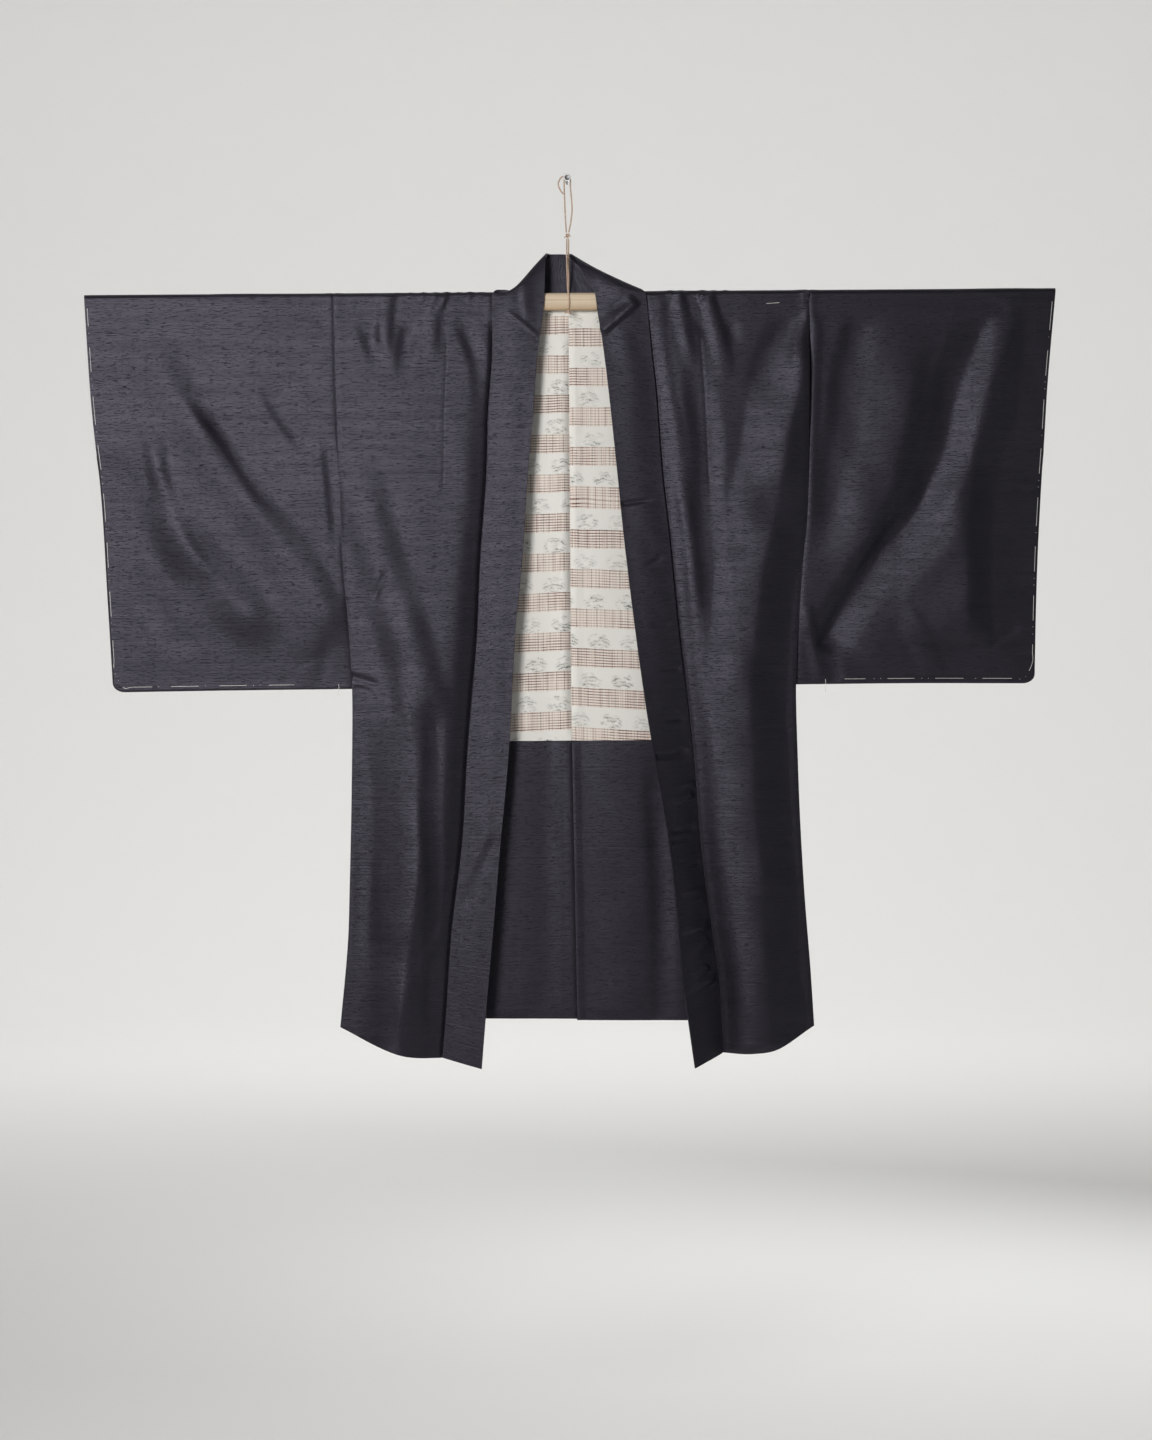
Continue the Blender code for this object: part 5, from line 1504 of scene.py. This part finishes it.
def cuff_route(side, behind, sewing):
    """Line that the basting follows: down the cuff, across its corner and along the foot."""
    foot = float(read(SLEEVE_FOOT[side], 1.0))
    z = np.linspace(sewing.top, foot + SLEEVE_CORNER * SLEEVE_CORNER_SHARE, 240)
    down = np.stack([read(CUFF_EDGE[side], z) - AWAY[side] * sewing.edge_inset, z], axis=1)
    past_corner = foot_ends(side)[1] - AWAY[side] * SLEEVE_CORNER * 0.9
    x = np.linspace(past_corner, BASTING_STOP[side], 200)
    along = np.stack([x, sleeve_foot(side, foot_share(side, x)) + sewing.foot_inset], axis=1)
    x, z = through(np.concatenate([down[::8], along[::8]]), BASTING_ROUTE_STEP).T
    front, back = sleeve_depths(side, x, z, sleeve_foot(side, sleeve_share(side, x, z)))
    y = back + thread_stand(sewing) if behind else front - thread_stand(sewing)
    return np.stack([x, y, z], axis=1)


def loose_ends(side, sewing):
    """Thread end that hangs from a sleeve's foot, and a stray stitch on the left shoulder."""
    x = LOOSE_END_X[side]
    foot = float(sleeve_foot(side, foot_share(side, x)))
    z = foot + 0.0060
    front, _ = sleeve_depths(side, np.array([x]), np.array([z]), np.array([foot]))
    y = float(front[0]) - thread_stand(sewing)
    ends = [through(((x, y, z), (x + 0.0004, y - 0.0006, foot + 0.001),
                     (x - 0.0006, y - 0.0002, foot - 0.005), (x + 0.0005, y, foot - 0.0105)),
                    BASTING_STEP)]
    if side == "left":
        x, z = np.linspace(*STRAY_STITCH, 22).T
        edge = read(SIDE_EDGE[side], z)
        u = (x - edge) / (read(COLLAR_SEAM[side], z) - edge)
        ends.append(np.stack([x, front_depth(side, x, z, u) - thread_stand(sewing), z], axis=1))
    return ends


# ---------------------------------------------------------------------------------------------
# Studio
# ---------------------------------------------------------------------------------------------
# Lamps: (name, place, point that it faces, width and height, colour).
LAMPS = (
    ("key", (-0.88, -2.03, -0.08), (0.0, -0.03, -0.6), (0.6, 0.6), (1.0, 0.985, 0.96)),
    ("fill", (2.4, -2.6, -0.2), (0.1, -0.03, -0.6), (1.8, 1.8), (0.94, 0.97, 1.0)),
    ("back", (1.2, 2.1, 0.2), (0.0, 0.0, -0.6), (1.0, 1.0), (1.0, 1.0, 1.0)),
    ("floor", (0.0, 3.4, 4.4), (0.0, 3.4, -1.8), (10.0, 8.0), (1.0, 1.0, 1.0)),
    ("wall", (0.0, 4.2, 3.4), (0.0, 10.5, -0.6), (6.0, 2.0), (1.0, 1.0, 1.0)),
    ("near_wall", (0.0, -4.2, 3.4), (0.0, -10.5, -0.6), (6.0, 2.0), (1.0, 1.0, 1.0)),
)
WORLD_COLOUR = (0.93, 0.95, 1.0, 1.0)


def lamp(name, place, target, size, colour, power):
    """Soft square lamp turned towards a point."""
    light = bpy.data.lights.new(name, "AREA")
    light.shape = "RECTANGLE"
    light.size, light.size_y = size
    light.energy = power
    light.color = colour
    thing = bpy.data.objects.new(name, light)
    thing.location = place
    thing.rotation_euler = (Vector(target) - Vector(place)).to_track_quat("-Z", "Y").to_euler()
    bpy.context.scene.collection.objects.link(thing)


def studio_floor(studio, sides=96):
    """Round pale floor that rises in a soft curve far behind everything."""
    flat = studio.sweep_reach - studio.sweep_round
    rings = [(0.02, 0.0), (2.0, 0.0), (flat, 0.0)]
    for turn in np.linspace(0.06, 1.0, 24) * math.pi / 2:
        rings.append((flat + studio.sweep_round * math.sin(turn),
                      studio.sweep_round * (1 - math.cos(turn))))
    rings.append((studio.sweep_reach, studio.sweep_height))
    points = [(math.cos(a) * r, math.sin(a) * r, studio.floor_level + z) for r, z in rings
              for a in round_angles(sides)]
    faces = ring_faces(len(rings), sides) + [tuple(reversed(range(sides)))]
    floor = new_piece("studio_floor", points, faces)
    floor.data.materials.append(bpy.data.materials["studio floor"])


def studio_camera(studio):
    """Level camera in front of the garment, turned by the small tilt of the slat."""
    camera = bpy.data.cameras.new("camera")
    camera.sensor_fit = "VERTICAL"
    camera.sensor_height = 36.0
    camera.lens = studio.lens
    thing = bpy.data.objects.new("camera", camera)
    thing.location = studio.camera_place
    thing.rotation_euler = (math.pi / 2, studio.camera_roll, 0.0)
    bpy.context.scene.collection.objects.link(thing)
    bpy.context.scene.camera = thing


# ---------------------------------------------------------------------------------------------
# What a user may change
# ---------------------------------------------------------------------------------------------
def number(name, description, default, **settings):
    return bpy.props.FloatProperty(name=name, description=description, default=default, **settings)


def tint(name, description, default):
    return bpy.props.FloatVectorProperty(name=name, description=description, subtype="COLOR",
                                         size=3, min=0.0, max=1.0, default=default)


def measure(name, description, default):
    return number(name, description, default, unit="LENGTH", min=0.0, precision=4)


def level(name, description, default):
    return number(name, description, default, unit="LENGTH")


def fraction(name, description, default):
    return number(name, description, default, subtype="FACTOR", min=0.0, max=1.0)


def watts(name, description, default):
    return number(name, description, default, unit="POWER", min=0.0)


class HaoriFinishes(bpy.types.PropertyGroup):
    silk: tint("Silk", "Black silk with a violet cast", (0.0082, 0.0076, 0.0104))
    gloss: fraction("Silk roughness", "Roughness of the silk's surface", 0.43)
    sheen: fraction("Silk sheen", "Strength of the silk's soft sheen", 0.03)
    lustre: fraction("Silk lustre", "Specular level of the silk", 0.50)
    pick: measure("Thread pitch", "Two threads of the weave", 0.0009)
    cream: tint("Lining cream", "Ground of the lining", (0.790, 0.780, 0.745))
    blush: tint("Check ground", "Ground of the lining's check bands", (0.840, 0.765, 0.700))
    check_rust: tint("Check rust", "Fine cross lines of the check", (0.200, 0.085, 0.065))
    check_umber: tint("Check umber", "Uneven upright lines of the check", (0.130, 0.062, 0.045))
    pine: tint("Pine grey", "Sketched pine sprigs", (0.105, 0.120, 0.100))
    band: measure("Band repeat", "Height of one check band and one plain band", 0.0530)
    check_share: fraction("Check share", "Share of the repeat that is checked", 0.48)
    check_lines: bpy.props.IntProperty(name="Check lines", default=7, min=1,
                                       description="Cross lines in a check band")
    sprig: measure("Sprig spacing", "Width given to each pine sprig", 0.0430)
    wood: tint("Slat wood", "Planed pale wood", (0.640, 0.520, 0.380))
    # This colour draws the slat's darker grain and also the painted shade under the slat.
    wood_grain_and_shade: tint("Slat grain and shade", "Darker grain of the slat and painted shade under it", (0.400, 0.255, 0.130))
    jute: tint("Jute", "Natural twine", (0.560, 0.400, 0.290))
    enamel: tint("Nail enamel", "White rim of the nail's head", (0.780, 0.790, 0.800))
    steel: tint("Nail steel", "Shank and middle of the head", (0.330, 0.330, 0.340))
    thread: tint("Basting thread", "White basting cotton", (0.800, 0.790, 0.760))
    floor: tint("Floor", "Pale studio floor", (0.800, 0.795, 0.780))


class HaoriCut(bpy.types.PropertyGroup):
    front_cell: measure("Front cells", "Mesh size of the front panels", 0.0032)
    sleeve_cell: measure("Sleeve cells", "Mesh size of the sleeves", 0.0040)
    back_cell: measure("Back cells", "Mesh size of the back, lining and facing", 0.0052)
    collar_cell: measure("Collar cells", "Mesh size along the collar", 0.0034)
    neck_cell: measure("Neck cells", "Mesh size of the collar round the neck and on the left front",
                      0.0018)


class HaoriSewing(bpy.types.PropertyGroup):
    pitch: measure("Pitch", "From one long basting stitch to the next", 0.0655)
    stitch: measure("Stitch", "Length of a long stitch", 0.0370)
    thread: measure("Thread", "Radius of the basting thread", 0.00034)
    edge_inset: measure("Cuff inset", "From the cuff edge to the stitches", 0.0034)
    foot_inset: measure("Foot inset", "From the sleeve's foot to the stitches", 0.0060)
    top: level("Top", "Height where the basting starts", -0.1700)


class HaoriStudio(bpy.types.PropertyGroup):
    floor_level: level("Floor", "Height of the floor", -1.80)
    sweep_reach: measure("Sweep reach", "Radius of the studio floor", 11.0)
    sweep_round: measure("Sweep curve", "Radius of the curve that the floor rises in", 4.5)
    sweep_height: measure("Sweep height", "Height of the curved wall", 7.5)
    camera_place: bpy.props.FloatVectorProperty(name="Camera place", size=3, subtype="TRANSLATION",
                                                description="Place of the camera",
                                                default=(0.0066, -4.0350, -0.7246))
    camera_roll: number("Camera roll", "Tilt of the slat in the view", math.radians(0.41),
                        unit="ROTATION")
    lens: number("Lens", "Focal length in millimetres", 74.77, min=1.0)
    key_power: watts("Key lamp", "Power of the upper left lamp", 35.0)
    fill_power: watts("Fill lamp", "Power of the lamp from the right", 1.5)
    back_power: watts("Back lamp", "Power of the lamp behind", 45.0)
    floor_power: watts("Floor lamp", "Power of the lamp on the floor", 135.0)
    wall_power: watts("Wall lamp", "Power of the lamp on the far wall", 300.0)
    near_wall_power: watts("Near wall lamp", "Power of the lamp on the wall behind the viewer",
                           45.0)
    world_light: number("World light", "Strength of the pale world", 0.05, min=0.0)


# ---------------------------------------------------------------------------------------------
# Operators
# ---------------------------------------------------------------------------------------------
class HAORI_OT_finishes(bpy.types.Operator):
    """Make every finish from the colours and strengths in the panel"""
    bl_idname = "haori.finishes"
    bl_label = "Finishes"

    def execute(self, context):
        for maker in (black_silk, lining_silk, slat_wood, jute, enamel, steel, basting_cotton,
                      studio_paint):
            maker(context.scene.haori_finishes)
        return {"FINISHED"}


class HAORI_OT_studio(bpy.types.Operator):
    """Camera, pale floor and soft lamps"""
    bl_idname = "haori.studio"
    bl_label = "Studio"

    def execute(self, context):
        studio = context.scene.haori_studio
        context.scene.view_settings.view_transform = "Standard"
        studio_camera(studio)
        studio_floor(studio)
        for name, *settings in LAMPS:
            lamp(name.replace("_", " ") + " lamp", *settings, getattr(studio, name + "_power"))
        world = bpy.data.worlds.new("pale world")
        world.use_nodes = True
        background = world.node_tree.nodes["Background"]
        background.inputs["Color"].default_value = WORLD_COLOUR
        background.inputs["Strength"].default_value = studio.world_light
        context.scene.world = world
        return {"FINISHED"}


class HAORI_OT_twine(bpy.types.Operator):
    """Jute twine over the nail and round the slat, with its two knots"""
    bl_idname = "haori.twine"
    bl_label = "Twine"

    def execute(self, context):
        top = tied_knot("jute_knot_top", KNOT_TOP, KNOT_TOP_SIZE, KNOT_TOP_TAILS)
        foot = tied_knot("jute_knot_foot", KNOT_FOOT, KNOT_FOOT_SIZE, KNOT_FOOT_TAILS)
        dress(top, "jute twine", "jute_twine", "twine_knot_top")
        dress(foot, "jute twine", "jute_twine", "twine_knot_foot")
        knots = {"twine_nail_loop": [top], "twine_front_strand": [foot]}
        for node, route in TWINE_STRANDS.items():
            path = through(route, TWINE_STEP)
            piece = twine_tube(node.replace("twine_", "jute_"), path, TWINE / 2)
            dress(piece, "jute twine", "jute_twine", node)
            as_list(knots.get(node, ()))
        return {"FINISHED"}


class HAORI_OT_hanger(bpy.types.Operator):
    """Planed slat through the sleeves, and the nail in the wall"""
    bl_idname = "haori.hanger"
    bl_label = "Slat and nail"

    def execute(self, context):
        dress(planed_slat(), "planed slat wood", "slat_wood", "hanger_rod")
        dress(nail_shank(), "nail steel", "nail_metal", "wall_nail")
        dress(nail_rim(), "nail enamel", "nail_metal")
        return {"FINISHED"}


class HAORI_OT_body(bpy.types.Operator):
    """Both halves of the body: front and back in one cut, over the slat"""
    bl_idname = "haori.body"
    bl_label = "Body halves"

    def execute(self, context):
        for side in SIDES:
            piece = body_half(side, context.scene.haori_cut)
            dress(piece, "slubbed black silk", "black_silk", "body_" + side)
        return {"FINISHED"}


class HAORI_OT_sleeves(bpy.types.Operator):
    """Both sleeves: folded bags with an open cuff"""
    bl_idname = "haori.sleeves"
    bl_label = "Sleeves"

    def execute(self, context):
        for side in SIDES:
            piece = sleeve(side, context.scene.haori_cut)
            dress(piece, "slubbed black silk", "black_silk", "sleeve_" + side)
        return {"FINISHED"}


class HAORI_OT_gussets(bpy.types.Operator):
    """Narrow side wedges, folded inwards"""
    bl_idname = "haori.gussets"
    bl_label = "Side gussets"

    def execute(self, context):
        for side in SIDES:
            piece = side_gusset(side, context.scene.haori_cut)
            dress(piece, "slubbed black silk", "black_silk", "gusset_" + side)
        return {"FINISHED"}


class HAORI_OT_lining(bpy.types.Operator):
    """Printed lining and the turned-up hem facing on the inside of the back"""
    bl_idname = "haori.lining"
    bl_label = "Lining and hem facing"

    def execute(self, context):
        cells = context.scene.haori_cut
        for side in SIDES:
            upper = back_layer("print_lining_", side, cells, True, LINING)
            dress(upper, "printed lining silk", "lining_silk", "lining_" + side)
            lower = back_layer("silk_hem_facing_", side, cells, False, CLOTH)
            dress(lower, "slubbed black silk", "black_silk", "hem_facing_" + side)
        return {"FINISHED"}


class HAORI_OT_collar(bpy.types.Operator):
    """Folded collar band, hem to hem round the neck"""
    bl_idname = "haori.collar"
    bl_label = "Collar"

    def execute(self, context):
        piece = collar(context.scene.haori_cut)
        dress(piece, "slubbed black silk", "black_silk", "collar")
        return {"FINISHED"}


class HAORI_OT_basting(bpy.types.Operator):
    """White basting left in along the cuffs and feet of the sleeves"""
    bl_idname = "haori.basting"
    bl_label = "Basting"

    def execute(self, context):
        sewing = context.scene.haori_sewing
        sizes = {"Pitch": sewing.pitch, "Stitch": sewing.stitch, "Thread": sewing.thread}
        for side in SIDES:
            rows = [baste(f"basting_{side}_{k}", cuff_route(side, behind, sewing), Seed=4 + 3 * k,
                          Phase=BASTING_PHASE[side] + 0.02 * k, **sizes)
                    for k, behind in enumerate((False, True))]
            rows += [baste(f"loose_end_{side}_{k}", route, Stitch=0.2, Pitch=0.4,
                           Thread=sewing.thread)
                     for k, route in enumerate(loose_ends(side, sewing))]
            dress(joined("basting_" + side, rows), "white basting cotton", None)
        return {"FINISHED"}


OPERATORS = (HAORI_OT_finishes, HAORI_OT_studio, HAORI_OT_twine, HAORI_OT_hanger, HAORI_OT_body,
             HAORI_OT_sleeves, HAORI_OT_gussets, HAORI_OT_lining, HAORI_OT_collar, HAORI_OT_basting)
SETTINGS = {"haori_finishes": HaoriFinishes, "haori_cut": HaoriCut, "haori_sewing": HaoriSewing,
            "haori_studio": HaoriStudio}


class HAORI_PT_panel(bpy.types.Panel):
    """Sizes, colours and steps of the haori"""
    bl_idname = "HAORI_PT_panel"
    bl_label = "Hung haori"
    bl_space_type = "VIEW_3D"
    bl_region_type = "UI"
    bl_category = "Haori"

    def draw(self, context):
        for operator in OPERATORS:
            self.layout.operator(operator.bl_idname)
        for name, group in SETTINGS.items():
            box = self.layout.box()
            for key in group.__annotations__:
                box.prop(getattr(context.scene, name), key)


CLASSES = (*SETTINGS.values(), *OPERATORS, HAORI_PT_panel)


def register():
    for group in CLASSES:
        bpy.utils.register_class(group)
    for name, group in SETTINGS.items():
        setattr(bpy.types.Scene, name, bpy.props.PointerProperty(type=group))


def unregister():
    for name in SETTINGS:
        delattr(bpy.types.Scene, name)
    for group in reversed(CLASSES):
        bpy.utils.unregister_class(group)


def main():
    register()
    for operator in OPERATORS:
        module, name = operator.bl_idname.split(".")
        getattr(getattr(bpy.ops, module), name)()


if __name__ == "__main__":
    main()
